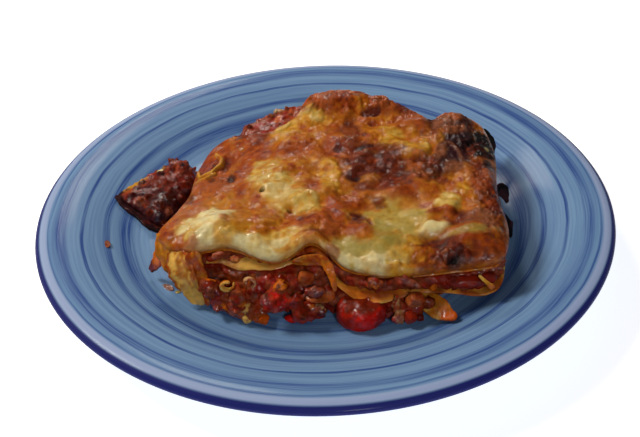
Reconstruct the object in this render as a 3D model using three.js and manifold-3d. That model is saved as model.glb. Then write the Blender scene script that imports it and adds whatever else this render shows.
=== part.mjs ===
// A corner piece of baked lasagna on a round blue stoneware plate.
// A burnt corner that broke off lies beside it.
// Millimetres, +Z up. The origin is the middle of the plate's foot. The cut front of the lasagna faces -Y.
// From the plate up: bottom pasta, lower ragu, middle pasta, upper ragu, top pasta, baked crust.
import * as THREE from "three";
import Module from "manifold-3d";
import { mergeVertices } from "three/addons/utils/BufferGeometryUtils.js";

const wasm = await Module();
wasm.setup();

// Driving dimensions
const PLATE_RADIUS = 137.3;
const RIM_HEIGHT = 24;
const WELL_HEIGHT = 6.5;
const FOOT_RADIUS = 70;
const PLATE_STEPS = 60;
const GAP = 0.35;
const PASTA = 1.5;
const THINNEST_RAGU = 0.7;
const GRID_STEPS = 60;
const MIDDLE = [6, -8];
const SHEET_SHARES = [0.55, 0.88, 1];
const CRUST_SHARES = [0.94, 0.86, 0.77, 0.67, 0.55, 0.42, 0.28, 0.14];
// Rounded edge of the crust: how far in its foot and shoulder are, and how high its nose and shoulder are
const CRUST_EDGE = { footInset: 1.2, noseHeight: 1.9, shoulderInset: 1.4, shoulderHeight: 4.2 };
// Height of the middle sheet between the bottom sheet and the crust
const MIDDLE_SHARE = 0.66;
// Points of a solid closer together than this are one point
const SLIVER = 0.004;

// Plate section, as [radius, height]: the eating side from the middle out to the rim
const EATING_SIDE = [
  [0, WELL_HEIGHT],
  [74, WELL_HEIGHT],
  [84, WELL_HEIGHT + 0.5],
  [91, 8.6],
  [98, 11.6],
  [108.5, 17.1],
  [117, 20.8],
  [126, RIM_HEIGHT - 0.7],
  [131.5, RIM_HEIGHT],
];
// The same section's edge and underside, from the rim back to the middle
const UNDERSIDE = [
  [134.4, RIM_HEIGHT - 0.3],
  [136.8, RIM_HEIGHT - 1.7],
  [PLATE_RADIUS, RIM_HEIGHT - 3.2],
  [136.2, RIM_HEIGHT - 4.9],
  [116, 14.6],
  [98, 6.2],
  [86, 2.6],
  [FOOT_RADIUS + 4, 2],
  [FOOT_RADIUS + 2, 0],
  [FOOT_RADIUS - 3, 0],
  [FOOT_RADIUS - 5, 2.2],
  [0, 2.2],
];

// Top view of the crust, as [x, y], round from the front left corner
const CRUST_OUTLINE = [
  [-74, -43],
  [-60, -55],
  [-41, -58],
  [-23, -63],
  [-6, -61],
  [5, -66.5],
  [24, -72.5],
  [56, -71.5],
  [73, -69.5],
  [78, -57],
  [80, -26],
  [83.5, 10],
  [81, 34],
  [74, 39.5],
  [57, 39],
  [47, 49.5],
  [32, 58.5],
  [12, 62.5],
  [-6, 61],
  [-13, 49.5],
  [-21, 40.5],
  [-31, 37],
  [-46, 41],
  [-57, 36.5],
  [-63, 22],
  [-64, -8],
  [-70, -31],
];
// Top view of the broken corner that lies at the left, round from its sharp end
const CORNER_OUTLINE = [
  [-105, 8.5],
  [-101, 19],
  [-89, 37],
  [-76, 46],
  [-66, 41],
  [-65, 24],
  [-70, 6],
  [-78, -9],
  [-85, -8],
  [-94, 0],
];
const CORNER_MIDDLE = [-82, 15];
const CORNER_SHEET = 1.9;

// A swell is a smooth hill, or a hollow where rise is negative: its place, height and reach
const swell = (x, y, rise, reachX, reachY) => ({ x, y, rise, reachX, reachY });
const LIP_SWELLS = [
  swell(-5, -62, 8.5, 8.5, 15),
  swell(40, -74, -2.5, 34, 20),
  swell(-62, 22, -9.5, 26, 34),
  swell(12, 64, 7, 28, 16),
  swell(-42, -54, 5.5, 16, 12),
];
const MIDDLE_PASTA_SWELLS = [
  swell(-39, -66, -2, 7.5, 11),
  swell(68, -70, -7, 15, 16),
  swell(17, -77, -3, 13, 5),
  swell(-31, -57, 3, 12, 7),
];
const CRUST_SWELLS = [
  swell(-38, -46, 2.6, 22, 9),
  swell(20, -56, 2.2, 13, 10),
  swell(48, -58, -2.6, 5, 4),
  swell(62, -60, 2, 8, 7),
  swell(-26, -16, 2.6, 11, 8),
  swell(-6, -24, 2.2, 8, 7),
  swell(-14, -2, 1.8, 9, 7),
  swell(34, -38, -2.2, 17, 9),
  swell(12, 54, 3, 32, 6),
  swell(16, 37, -3, 28, 6),
  swell(8, 20, 2.4, 34, 7),
  swell(44, 2, 1.8, 12, 10),
  swell(70, 30, 3.6, 9, 7),
  swell(77, -22, 3, 5, 28),
  swell(-54, 4, 2, 7, 14),
  swell(-44, 22, -1.6, 7, 8),
];
// The middle sheet is folded at the front: left of the fold it lies this much higher
const FOLD = { x: 1.4, width: 3, rise: 5, y: -62, reach: 17 };

// How far a layer stands out past the crust, as [direction in degrees, millimetres, spread in degrees]
const MIDDLE_BULGES = [
  [250, -2, 11],
  [231, 3.5, 8],
  [279, 4.5, 13],
  [119, 23, 17],
  [205, -4, 9],
];
const UPPER_RAGU_BULGES = [
  [227, 1.5, 7],
  [243, -6.5, 10],
  [119, 24.5, 17],
  [200, -5, 14],
  [0, -2, 55],
];
const LOWER_RAGU_FOOT = [
  [246, 9.5, 18],
  [277, 7, 15],
  [320, -17, 17],
  [119, 22, 17],
  [196, -7, 15],
  [20, -4, 55],
];
const LOWER_RAGU_HEAD = [
  [246, 2, 16],
  [277, -1.5, 15],
  [320, -14, 17],
  [119, 21.5, 17],
  [196, -6, 15],
  [20, -3, 55],
];
const BOTTOM_BULGES = [
  [246, 5.5, 18],
  [275, 4.5, 14],
  [320, -19, 17],
  [119, 20, 17],
  [196, -9, 16],
  [20, -5, 60],
];

/** Repeatable random numbers from 0 to 1. */
function seededRandom(seed) {
  let state = seed;
  return () => {
    state = (state * 1664525 + 1013904223) % 4294967296;
    return state / 4294967296;
  };
}

/** Value at a place on the line through [place, value] pairs. */
function alongLine(pairs, at) {
  for (let i = 1; i < pairs.length; i += 1) {
    const [from, low] = pairs[i - 1];
    const [to, high] = pairs[i];
    if (at <= to) return low + ((high - low) * (at - from)) / (to - from);
  }
  return pairs[pairs.length - 1][1];
}

/** Smooth step from 0 to 1. */
function smooth(t) {
  const c = Math.min(1, Math.max(0, t));
  return c * c * (3 - 2 * c);
}

/** Sum of a list of swells at a place. */
function sumOf(swells, x, y) {
  const hill = (s) => s.rise * Math.exp(-(((x - s.x) / s.reachX) ** 2) - ((y - s.y) / s.reachY) ** 2);
  return swells.reduce((total, s) => total + hill(s), 0);
}

/** Gentle unevenness with hills about three pitches apart. */
function ripple(x, y, pitch) {
  const bend = 1.7 * Math.sin(y / (pitch * 1.6));
  return Math.sin(x / pitch + bend) * Math.cos(y / (pitch * 0.9) + 0.6);
}

// The surfaces that part the layers, each a height at [x, y]
function floorOfFood(x, y) {
  return alongLine(EATING_SIDE, Math.hypot(x, y)) + GAP;
}

function lipHeight(x, y) {
  const free = 31.8 + 0.025 * x + 0.024 * y + sumOf(LIP_SWELLS, x, y);
  return Math.max(free, floorOfFood(x, y) + 3 * PASTA + 5 * GAP + 2 * THINNEST_RAGU);
}

function middlePasta(x, y) {
  const low = floorOfFood(x, y) + PASTA + 2 * GAP + THINNEST_RAGU;
  const high = lipHeight(x, y) - 2 * PASTA - 3 * GAP - THINNEST_RAGU;
  const behind = Math.max(0, (y - FOLD.y) / FOLD.reach);
  const folded = FOLD.rise * smooth((FOLD.x - x) / FOLD.width + 0.5) * Math.exp(-(behind ** 2));
  const uneven = sumOf(MIDDLE_PASTA_SWELLS, x, y) + 0.4 * ripple(x, y, 13);
  const free = low + MIDDLE_SHARE * (high - low) + folded + uneven;
  return Math.min(high, Math.max(low, free));
}

/** Baked surface of the crust, a given way in from its edge. */
function crustTop(x, y, inward) {
  const thickness = 4.8 + 2.4 * smooth(inward / 14);
  const relief = sumOf(CRUST_SWELLS, x, y) + 0.8 * ripple(x, y, 6.5) + 0.6 * ripple(y, x, 4.1);
  return lipHeight(x, y) + thickness + relief * smooth(inward / 6);
}

/** Radius of a closed outline at each direction from its middle. */
function polarOutline(points, middle) {
  const corners = points.map(([x, y]) => new THREE.Vector3(x - middle[0], y - middle[1], 0));
  const curve = new THREE.CatmullRomCurve3(corners, true, "centripetal");
  const turn = 2 * Math.PI;
  const polar = (p) => [(Math.atan2(p.y, p.x) + turn) % turn, Math.hypot(p.x, p.y)];
  const samples = curve.getPoints(600).map(polar);
  samples.sort((a, b) => a[0] - b[0]);
  const first = samples[0];
  const last = samples[samples.length - 1];
  const pairs = [[last[0] - turn, last[1]], ...samples, [first[0] + turn, first[1]]];
  return (angle) => alongLine(pairs, angle);
}
const crustRadius = polarOutline(CRUST_OUTLINE, MIDDLE);

/** Radius of a layer that stands out past the crust by its bulges. */
function bulgedRadius(bulges) {
  return (angle) =>
    bulges.reduce((radius, [at, out, spread]) => {
      const turn = Math.abs(THREE.MathUtils.radToDeg(angle) - at);
      return radius + out * Math.exp(-((Math.min(turn, 360 - turn) / spread) ** 2));
    }, crustRadius(angle));
}

/** Directions of the grid, closer together round the fold at the front. */
function gridAngles() {
  const fold = THREE.MathUtils.degToRad(264);
  const density = (a) => 1 + 2.6 * Math.exp(-(((a - fold) / 0.17) ** 2));
  const fine = 2000;
  const steps = Array.from({ length: fine }, (_, i) => density((i * 2 * Math.PI) / fine));
  const total = steps.reduce((a, b) => a + b, 0);
  const angles = [];
  let reached = 0;
  steps.forEach((step, i) => {
    if (reached >= (angles.length * total) / GRID_STEPS) angles.push((i * 2 * Math.PI) / fine);
    reached += step;
  });
  return angles;
}
const LAYER_ANGLES = gridAngles();

/** Closed solid from a first point, a row of loops with equal counts, and a last point. */
function loopSolid(first, loops, last) {
  const count = loops[0].length;
  const positions = [first, ...loops.flat(), last].flat();
  const index = [];
  const at = (loop, i) => 1 + loop * count + (i % count);
  const end = 1 + loops.length * count;
  for (let i = 0; i < count; i += 1) {
    index.push(0, at(0, i + 1), at(0, i));
    index.push(end, at(loops.length - 1, i), at(loops.length - 1, i + 1));
    for (let loop = 0; loop + 1 < loops.length; loop += 1) {
      index.push(at(loop, i), at(loop, i + 1), at(loop + 1, i + 1));
      index.push(at(loop, i), at(loop + 1, i + 1), at(loop + 1, i));
    }
  }
  const geometry = new THREE.BufferGeometry();
  geometry.setAttribute("position", new THREE.Float32BufferAttribute(positions, 3));
  geometry.setIndex(index);
  return geometry;
}

/** Solid for joining and cutting, from a closed geometry. */
function toManifold(geometry) {
  const bare = new THREE.BufferGeometry();
  bare.setAttribute("position", geometry.getAttribute("position"));
  if (geometry.index) bare.setIndex(geometry.index);
  const merged = mergeVertices(bare, 1e-4);
  const vertProperties = new Float32Array(merged.getAttribute("position").array);
  const triVerts = new Uint32Array(merged.index.array);
  return new wasm.Manifold(new wasm.Mesh({ numProp: 3, vertProperties, triVerts }));
}

/** Geometry of a solid's largest piece, so that loose scraps and slivers are dropped. */
function fromManifold(solid) {
  const pieces = solid.decompose().sort((a, b) => b.volume() - a.volume());
  const mesh = pieces[0].getMesh();
  const rough = new THREE.BufferGeometry();
  rough.setAttribute("position", new THREE.Float32BufferAttribute(Array.from(mesh.vertProperties), 3));
  rough.setIndex(Array.from(mesh.triVerts));
  const geometry = mergeVertices(rough, SLIVER);
  const index = Array.from(geometry.index.array);
  const faces = Array.from({ length: index.length / 3 }, (_, i) => index.slice(3 * i, 3 * i + 3));
  geometry.setIndex(faces.filter((face) => new Set(face).size === 3).flat());
  return geometry;
}

/** A solid with room cut in it for its neighbours. */
function clearOf(solid, cutters) {
  return cutters.reduce((rest, cutter) => rest.subtract(cutter), solid);
}

/** One loop of a layer, at a share of the crust's radius, or at the layer's own edge for 1. */
function layerLoop(share, radiusOf, heightAt) {
  const leastInset = 9 * (1 - share);
  return LAYER_ANGLES.map((angle) => {
    const own = radiusOf(angle);
    const common = crustRadius(angle);
    const radius = share < 1 ? Math.min(share * common, own - leastInset) : own;
    const x = MIDDLE[0] + radius * Math.cos(angle);
    const y = MIDDLE[1] + radius * Math.sin(angle);
    return [x, y, heightAt(x, y, Math.max(0, common - radius))];
  });
}

/** Layer between two height surfaces, with its own edge below and above, grown as a cutter. */
function layerSolid({ foot, head = foot, under, over, sides = [] }, grow = 0) {
  const lower = (x, y) => under(x, y) - grow;
  const upper = (x, y) => over(x, y) + grow;
  const loops = [
    ...SHEET_SHARES.map((share) => layerLoop(share, (angle) => foot(angle) + grow, lower)),
    ...sides,
    ...SHEET_SHARES.map((share) => layerLoop(share, (angle) => head(angle) + grow, upper)).reverse(),
  ];
  return toManifold(loopSolid([...MIDDLE, lower(...MIDDLE)], loops, [...MIDDLE, upper(...MIDDLE)]));
}

/** Strip of food along a path: a flat section with soft edges that turns with the path. */
function stripSolid({ path, widths, thickness, facing, wave = 0 }, grow = 0) {
  const curve = new THREE.CatmullRomCurve3(path.map((p) => new THREE.Vector3(...p)));
  const steps = 3 * (path.length - 1);
  const face = new THREE.Vector3(...facing).normalize();
  const section = [
    [1, 0],
    [0.7, 0.5],
    [-0.7, 0.5],
    [-1, 0],
    [-0.7, -0.5],
    [0.7, -0.5],
  ];
  const loops = Array.from({ length: steps + 1 }, (_, i) => {
    const t = i / steps;
    const along = curve.getTangent(t);
    const side = new THREE.Vector3().crossVectors(face, along).normalize();
    const up = new THREE.Vector3().crossVectors(along, side);
    const half = alongLine(widths, t) / 2 + grow;
    const ends = grow * (2 * t - 1);
    const centre = curve.getPoint(t).addScaledVector(up, wave * Math.sin(7 * t));
    centre.addScaledVector(along, ends);
    const thick = thickness + 2 * grow;
    return section.map(([s, u]) => {
      return centre.clone().addScaledVector(side, s * half).addScaledVector(up, u * thick).toArray();
    });
  });
  const start = new THREE.Vector3(...path[0]).addScaledVector(curve.getTangent(0), -grow);
  const end = new THREE.Vector3(...path.at(-1)).addScaledVector(curve.getTangent(1), grow);
  return toManifold(loopSolid(start.toArray(), loops, end.toArray()));
}

/** Uneven lump of food, flattened where it meets the plate. */
function lumpSolid({ centre, size, detail = 0, seed, roughness = 0.12 }, grow = 0) {
  const random = seededRandom(seed);
  const phases = Array.from({ length: 6 }, () => random() * 2 * Math.PI);
  const ball = new THREE.IcosahedronGeometry(1, detail);
  ball.deleteAttribute("normal");
  ball.deleteAttribute("uv");
  const geometry = mergeVertices(ball, 1e-4);
  const position = geometry.getAttribute("position");
  for (let i = 0; i < position.count; i += 1) {
    const [x, y, z] = [position.getX(i), position.getY(i), position.getZ(i)];
    const [a, b, c, d, e, f] = phases;
    const wave = Math.sin(2.3 * x + a) + Math.sin(2.9 * y + b) + Math.sin(2.6 * z + c);
    const fine = Math.sin(5.1 * x + d) * Math.sin(4.7 * y + e) + Math.sin(5.6 * z + f);
    const scale = 1 + roughness * (0.6 * wave + 0.5 * fine);
    const px = centre[0] + (size[0] * scale + grow) * x;
    const py = centre[1] + (size[1] * scale + grow) * y;
    const pz = centre[2] + (size[2] * scale + grow) * z;
    position.setXYZ(i, px, py, Math.max(pz, floorOfFood(px, py) - grow));
  }
  return toManifold(geometry);
}

/** Loops up the side of a ragu layer, with bumps as large as crumbs of mince. */
function bumpyLoops({ foot, head, under, over, crumb, rises }, random) {
  return rises.map((rise) => {
    const bumps = LAYER_ANGLES.map(() => crumb * (random() - 0.45));
    const edge = (angle) => foot(angle) + (head(angle) - foot(angle)) * rise;
    const height = (x, y) => under(x, y) + (over(x, y) - under(x, y)) * rise;
    return layerLoop(1, (angle) => edge(angle) + bumps[LAYER_ANGLES.indexOf(angle)], height);
  });
}

/** Ragu: a bumpy core between two sheets, with lumps of meat and vegetable fused along its sides. */
function raguSolid({ lumps, seed, sizeAt, ...layer }) {
  const random = seededRandom(seed);
  const { foot, head, under, over } = layer;
  let solid = layerSolid({ ...layer, sides: bumpyLoops(layer, random) });
  lumps.forEach(([from, to, count]) => {
    for (let i = 0; i < count; i += 1) {
      const angle = THREE.MathUtils.degToRad(from + ((to - from) * (i + 0.6 * random())) / count);
      const size = sizeAt(angle) * (0.7 + 0.6 * random());
      const rise = 0.15 + 0.65 * random();
      const radius = foot(angle) + (head(angle) - foot(angle)) * rise - size * 0.3;
      const [x, y] = [MIDDLE[0] + radius * Math.cos(angle), MIDDLE[1] + radius * Math.sin(angle)];
      const centre = [x, y, under(x, y) + (over(x, y) - under(x, y)) * rise];
      const halves = [size, size, size * 0.8];
      solid = solid.add(lumpSolid({ centre, size: halves, seed: seed + i, roughness: 0.14 }));
    }
  });
  return solid;
}

/** Plate, turned round the Z axis from its section. */
function plateSolid() {
  const section = [...EATING_SIDE, ...UNDERSIDE].reverse().map(([r, z]) => new THREE.Vector2(r, z));
  return new THREE.LatheGeometry(section, PLATE_STEPS).rotateX(Math.PI / 2);
}

/** Crust: its flat underside, a rounded edge, and the baked top, grown where it is used as a cutter. */
function crustSolid(grow = 0) {
  const inset = (way) => (angle) => crustRadius(angle) - way + grow;
  const edge = (angle) => crustRadius(angle) + 0.5 * Math.sin(9 * angle) + grow;
  const under = (x, y) => lipHeight(x, y) - grow;
  const over = (x, y, inward) => crustTop(x, y, inward) + grow;
  const shoulder = (x, y) => lipHeight(x, y) + CRUST_EDGE.shoulderHeight + grow;
  const loops = [
    ...SHEET_SHARES.slice(0, -1).map((share) => layerLoop(share, crustRadius, under)),
    layerLoop(1, inset(CRUST_EDGE.footInset), under),
    layerLoop(1, edge, (x, y) => lipHeight(x, y) + CRUST_EDGE.noseHeight),
    layerLoop(1, inset(CRUST_EDGE.shoulderInset), shoulder),
    ...CRUST_SHARES.map((share) => layerLoop(share, crustRadius, over)),
  ];
  const first = [...MIDDLE, under(...MIDDLE)];
  const last = [...MIDDLE, over(...MIDDLE, PLATE_RADIUS)];
  return toManifold(loopSolid(first, loops, last));
}

/** Part of the broken corner between two heights above the plate, inside its outline by an inset. */
function cornerSolid({ inset, under, over, shares }, grow = 0) {
  const radiusOf = polarOutline(CORNER_OUTLINE, CORNER_MIDDLE);
  const steps = 28;
  const loop = (share, heightAt) =>
    Array.from({ length: steps }, (_, i) => {
      const angle = (i * 2 * Math.PI) / steps;
      const radius = share * (radiusOf(angle) - inset + grow);
      const x = CORNER_MIDDLE[0] + radius * Math.cos(angle);
      const y = CORNER_MIDDLE[1] + radius * Math.sin(angle);
      return [x, y, floorOfFood(x, y) + heightAt(x, y, share)];
    });
  const lower = (x, y, share) => under(x, y, share) - grow;
  const upper = (x, y, share) => over(x, y, share) + grow;
  const loops = [...shares.map((s) => loop(s, lower)), ...[...shares].reverse().map((s) => loop(s, upper))];
  const [x, y] = CORNER_MIDDLE;
  const middle = (heightAt) => [x, y, floorOfFood(x, y) + heightAt(x, y, 0)];
  return toManifold(loopSolid(middle(lower), loops, middle(upper)));
}

/** Height of the corner's meat over the plate: a ridge along the baked edge that falls off to all sides. */
function cornerMeat(x, y, share) {
  const ridge = 4.6 * Math.exp(-(((x + 82 - 0.35 * (y - 10)) / 9) ** 2)) + 3 * smooth((y - 14) / 22);
  const fullness = Math.sqrt(Math.max(0, 1 - share ** 4));
  return CORNER_SHEET + 1.5 + (3 + ridge + 0.8 * ripple(x, y, 3.1)) * fullness;
}

const group = new THREE.Group();

/** Puts one named piece of the part in the group. */
function add(name, solid, color, roughness) {
  const geometry = solid instanceof THREE.BufferGeometry ? solid : fromManifold(solid);
  const mesh = new THREE.Mesh(geometry, new THREE.MeshStandardMaterial({ color, roughness, metalness: 0 }));
  mesh.name = name;
  group.add(mesh);
}

// The layers' surfaces and edges
const middleOver = (x, y) => middlePasta(x, y) + PASTA;
const bottomOver = (x, y) => floorOfFood(x, y) + PASTA;
const topUnder = (x, y) => lipHeight(x, y) - GAP - PASTA;
const SHEETS = {
  pasta_top: {
    foot: (angle) => crustRadius(angle) - 1.3,
    under: topUnder,
    over: (x, y) => lipHeight(x, y) - GAP,
  },
  pasta_middle: {
    foot: bulgedRadius(MIDDLE_BULGES),
    under: middlePasta,
    over: middleOver,
  },
  pasta_bottom: {
    foot: bulgedRadius(BOTTOM_BULGES),
    under: floorOfFood,
    over: bottomOver,
  },
};
// Between the sheets; lumps are [from direction, to direction, how many]
const RAGU = {
  upper: {
    foot: bulgedRadius(UPPER_RAGU_BULGES),
    head: bulgedRadius(UPPER_RAGU_BULGES),
    under: (x, y) => middleOver(x, y) + GAP,
    over: (x, y) => topUnder(x, y) - GAP,
    crumb: 2.4,
    rises: [0.3, 0.7],
    lumps: [[100, 136, 6], [236, 312, 7]],
    seed: 57,
    sizeAt: (angle) => (angle < Math.PI ? 4.2 : 2.4),
  },
  lower: {
    foot: bulgedRadius(LOWER_RAGU_FOOT),
    head: bulgedRadius(LOWER_RAGU_HEAD),
    under: (x, y) => bottomOver(x, y) + GAP,
    over: (x, y) => middlePasta(x, y) - GAP,
    crumb: 3.4,
    rises: [0.2, 0.44, 0.68, 0.9],
    lumps: [[228, 292, 17], [20, 200, 8]],
    seed: 31,
    sizeAt: () => 4.4,
  },
};

// Strips and lumps that hang from the layers or lie against them
const STRIPS = {
  pasta_tongue: {
    path: [[36, -66, 15.4], [43, -73, 14.8], [49.5, -79.5, 13.8], [53.5, -83.3, 14.6]],
    widths: [[0, 8], [0.5, 10], [1, 3]],
    thickness: 2.4,
    facing: [-0.3, -0.5, 1],
  },
  pasta_lower: {
    path: [[-9, -69.6, 17.2], [-3, -70.6, 17.8], [3.5, -70.8, 18.2]],
    widths: [[0, 5], [0.5, 8], [1, 5]],
    thickness: 1.5,
    facing: [0, -0.3, 1],
  },
  pasta_left: {
    path: [[-65, -51, 30.5], [-62.5, -58.5, 25], [-58.5, -62.5, 16.5], [-54, -64.5, 9.6]],
    widths: [[0, 13], [0.35, 13.5], [0.7, 10], [1, 3]],
    thickness: 1.8,
    facing: [-0.45, -1, 0.35],
    wave: 0.7,
  },
  pasta_corner: {
    path: [[-70.5, -43, 26.5], [-75.5, -44, 19], [-80, -43, 12]],
    widths: [[0, 10], [0.5, 8.5], [1, 2.4]],
    thickness: 1.8,
    facing: [-1, -0.7, 0.4],
  },
  cheese_string: {
    path: [[63.6, -71, 27], [66.4, -73.4, 25.2], [69.6, -74.6, 22.6]],
    widths: [[0, 1.5], [0.5, 1.8], [1, 2.8]],
    thickness: 1.4,
    facing: [0.3, -1, 0.4],
  },
  char_back: {
    path: [[81, 36, 31.5], [86, 37.5, 29], [88.5, 32, 25], [86.5, 26, 21]],
    widths: [[0, 3], [0.5, 4.5], [1, 2]],
    thickness: 1.1,
    facing: [1, 0.4, 0.5],
  },
  char_side: {
    path: [[84.6, -2, 24], [88, -2.6, 20], [90, -4.6, 15]],
    widths: [[0, 4], [0.5, 7], [1, 2]],
    thickness: 1.1,
    facing: [1, 0.1, 0.3],
  },
  char_low: {
    path: [[82.2, -24, 24], [85.6, -26.5, 17.6], [87.5, -27.5, 11.6]],
    widths: [[0, 3], [0.5, 7], [1, 2]],
    thickness: 1.1,
    facing: [1, -0.2, 0.3],
  },
};
const LUMPS = {
  tomato_front: { centre: [14.4, -75.8, 12.4], size: [12, 7.6, 7.4], detail: 2, seed: 7, roughness: 0.08 },
  tomato_right: { centre: [60, -67.5, 22.8], size: [13, 6, 3.2], detail: 1, seed: 12, roughness: 0.05 },
};
// Broken corner at the left: a pasta sheet under baked meat
const CORNER = {
  corner_pasta: { inset: 0, under: () => 0, over: () => CORNER_SHEET, shares: [0.6, 1] },
  corner_meat: {
    inset: 2.4,
    under: () => CORNER_SHEET + GAP,
    over: cornerMeat,
    shares: [0.55, 0.8, 0.93, 1],
  },
};

/** Makes every entry of a table of sizes, as it is and grown by the gap. */
function makeAll(table, make) {
  const both = (sizes) => ({ solid: make(sizes), cutter: make(sizes, GAP) });
  return Object.fromEntries(Object.entries(table).map(([name, sizes]) => [name, both(sizes)]));
}
const strips = makeAll(STRIPS, stripSolid);
const lumps = makeAll(LUMPS, lumpSolid);
const corner = makeAll(CORNER, cornerSolid);
const sheets = makeAll(SHEETS, layerSolid);
const crust = { solid: crustSolid(), cutter: crustSolid(GAP) };

// What hangs from the sheets or leans on them gives way to them, and the soft layers give way to all
const over = [crust.cutter, sheets.pasta_top.cutter, sheets.pasta_middle.cutter];
const small = [...Object.values(strips), ...Object.values(lumps), ...Object.values(corner)];
Object.values({ ...strips, ...lumps }).forEach((piece) => {
  piece.solid = clearOf(piece.solid, over);
});
["pasta_tongue", "pasta_lower"].forEach((name) => {
  strips[name].solid = clearOf(strips[name].solid, [lumps.tomato_front.cutter]);
});
strips.cheese_string.solid = clearOf(strips.cheese_string.solid, [lumps.tomato_right.cutter]);
sheets.pasta_top.solid = clearOf(sheets.pasta_top.solid, [crust.cutter]);
const smallCutters = small.map((piece) => piece.cutter);
sheets.pasta_bottom.solid = clearOf(sheets.pasta_bottom.solid, smallCutters);
const around = [...over, sheets.pasta_bottom.cutter, ...smallCutters];
const raguUpper = clearOf(raguSolid(RAGU.upper), around);
const moved = [-GAP, GAP].map((move) => raguUpper.translate([0, move, -GAP]));
const upperCutter = moved.reduce((all, copy) => all.add(copy), raguUpper);
const raguLower = clearOf(raguSolid(RAGU.lower), [...around, upperCutter]);

add("plate", plateSolid(), 0x6f93c4, 0.25);
add("crust", crust.solid, 0xc98a3a, 0.45);
add("pasta_top", sheets.pasta_top.solid, 0xd9a548, 0.5);
add("ragu_upper", raguUpper, 0x6a2614, 0.35);
add("pasta_middle", sheets.pasta_middle.solid, 0xd08a30, 0.5);
add("ragu_lower", raguLower, 0x7a2a14, 0.35);
add("pasta_bottom", sheets.pasta_bottom.solid, 0xc0803a, 0.5);
add("corner_pasta", corner.corner_pasta.solid, 0xd0862c, 0.45);
add("corner_meat", corner.corner_meat.solid, 0x57201c, 0.4);
add("tomato_front", lumps.tomato_front.solid, 0xb02414, 0.3);
add("tomato_right", lumps.tomato_right.solid, 0x8e2014, 0.3);
["pasta_tongue", "pasta_lower", "pasta_left", "pasta_corner"].forEach((name) => {
  add(name, strips[name].solid, 0xd8902e, 0.4);
});
add("cheese_string", strips.cheese_string.solid, 0xe2b45c, 0.4);
["char_back", "char_side", "char_low"].forEach((name) => {
  add(name, strips[name].solid, 0x1c1412, 0.6);
});

export default group;
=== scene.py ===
"""Looks of a plate of lasagna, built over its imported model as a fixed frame.

Lengths are millimetres in the food's and plate's own code and become metres where a mesh is made.
The frame has its origin at the middle of the plate's foot, +Z up, and the cut front faces -Y.
"""

import itertools
import logging
import math
from collections.abc import Callable, Sequence
from dataclasses import dataclass, field
from enum import Enum
from typing import Any

import bmesh
import bpy
import numpy as np
from bpy.types import Collection, Material, Mesh, Node, NodeSocket, NodeTree, Object
from mathutils import Euler, Matrix, Vector
from mathutils.bvhtree import BVHTree
from mathutils.kdtree import KDTree


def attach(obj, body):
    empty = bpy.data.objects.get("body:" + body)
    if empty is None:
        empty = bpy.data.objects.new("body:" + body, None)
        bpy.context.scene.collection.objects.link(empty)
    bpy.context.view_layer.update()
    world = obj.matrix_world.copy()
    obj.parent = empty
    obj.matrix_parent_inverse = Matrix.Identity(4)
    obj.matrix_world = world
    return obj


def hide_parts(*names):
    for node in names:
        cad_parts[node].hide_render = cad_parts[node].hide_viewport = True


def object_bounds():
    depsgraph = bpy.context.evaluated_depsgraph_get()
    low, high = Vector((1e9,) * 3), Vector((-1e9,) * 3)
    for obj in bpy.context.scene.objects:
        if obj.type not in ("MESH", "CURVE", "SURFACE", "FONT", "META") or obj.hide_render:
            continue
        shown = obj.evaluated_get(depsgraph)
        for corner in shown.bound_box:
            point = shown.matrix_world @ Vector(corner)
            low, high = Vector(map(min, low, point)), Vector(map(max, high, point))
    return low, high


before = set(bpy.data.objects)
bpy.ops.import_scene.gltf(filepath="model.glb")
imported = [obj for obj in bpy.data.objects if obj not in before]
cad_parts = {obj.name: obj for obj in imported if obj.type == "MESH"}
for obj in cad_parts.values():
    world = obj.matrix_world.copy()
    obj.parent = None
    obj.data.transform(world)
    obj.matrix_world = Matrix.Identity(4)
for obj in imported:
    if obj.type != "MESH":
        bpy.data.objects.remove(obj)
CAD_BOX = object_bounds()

LOG = logging.getLogger("lasagna")
MM = 0.001
TURN = 2 * math.pi
# Gap between layers, thickness of a sheet and of the thinnest ragu, and middle of the food, in mm
GAP = 0.35
PASTA = 1.5
THINNEST_RAGU = 0.7
MIDDLE = (6.0, -8.0)

Array = np.ndarray
Height = Callable[[Array, Array], Array]
Radius = Callable[[Array], Array]
Density = Callable[[Array, Array], Array]
Pair = tuple[float, float]
Triple = tuple[float, float, float]


def to_linear(colour: str) -> tuple[float, float, float, float]:
    """Linear colour of an sRGB hex string.

    Args:
        colour: six hex digits after a hash.

    Returns:
        Red, green, blue and an alpha of one.
    """
    parts = [int(colour[i : i + 2], 16) / 255 for i in (1, 3, 5)]
    linear = [c / 12.92 if c <= 0.04045 else ((c + 0.055) / 1.055) ** 2.4 for c in parts]
    return (*linear, 1.0)


def smooth(t: Array) -> Array:
    """Smooth step from 0 to 1."""
    c = np.clip(t, 0.0, 1.0)
    return c * c * (3 - 2 * c)


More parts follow.
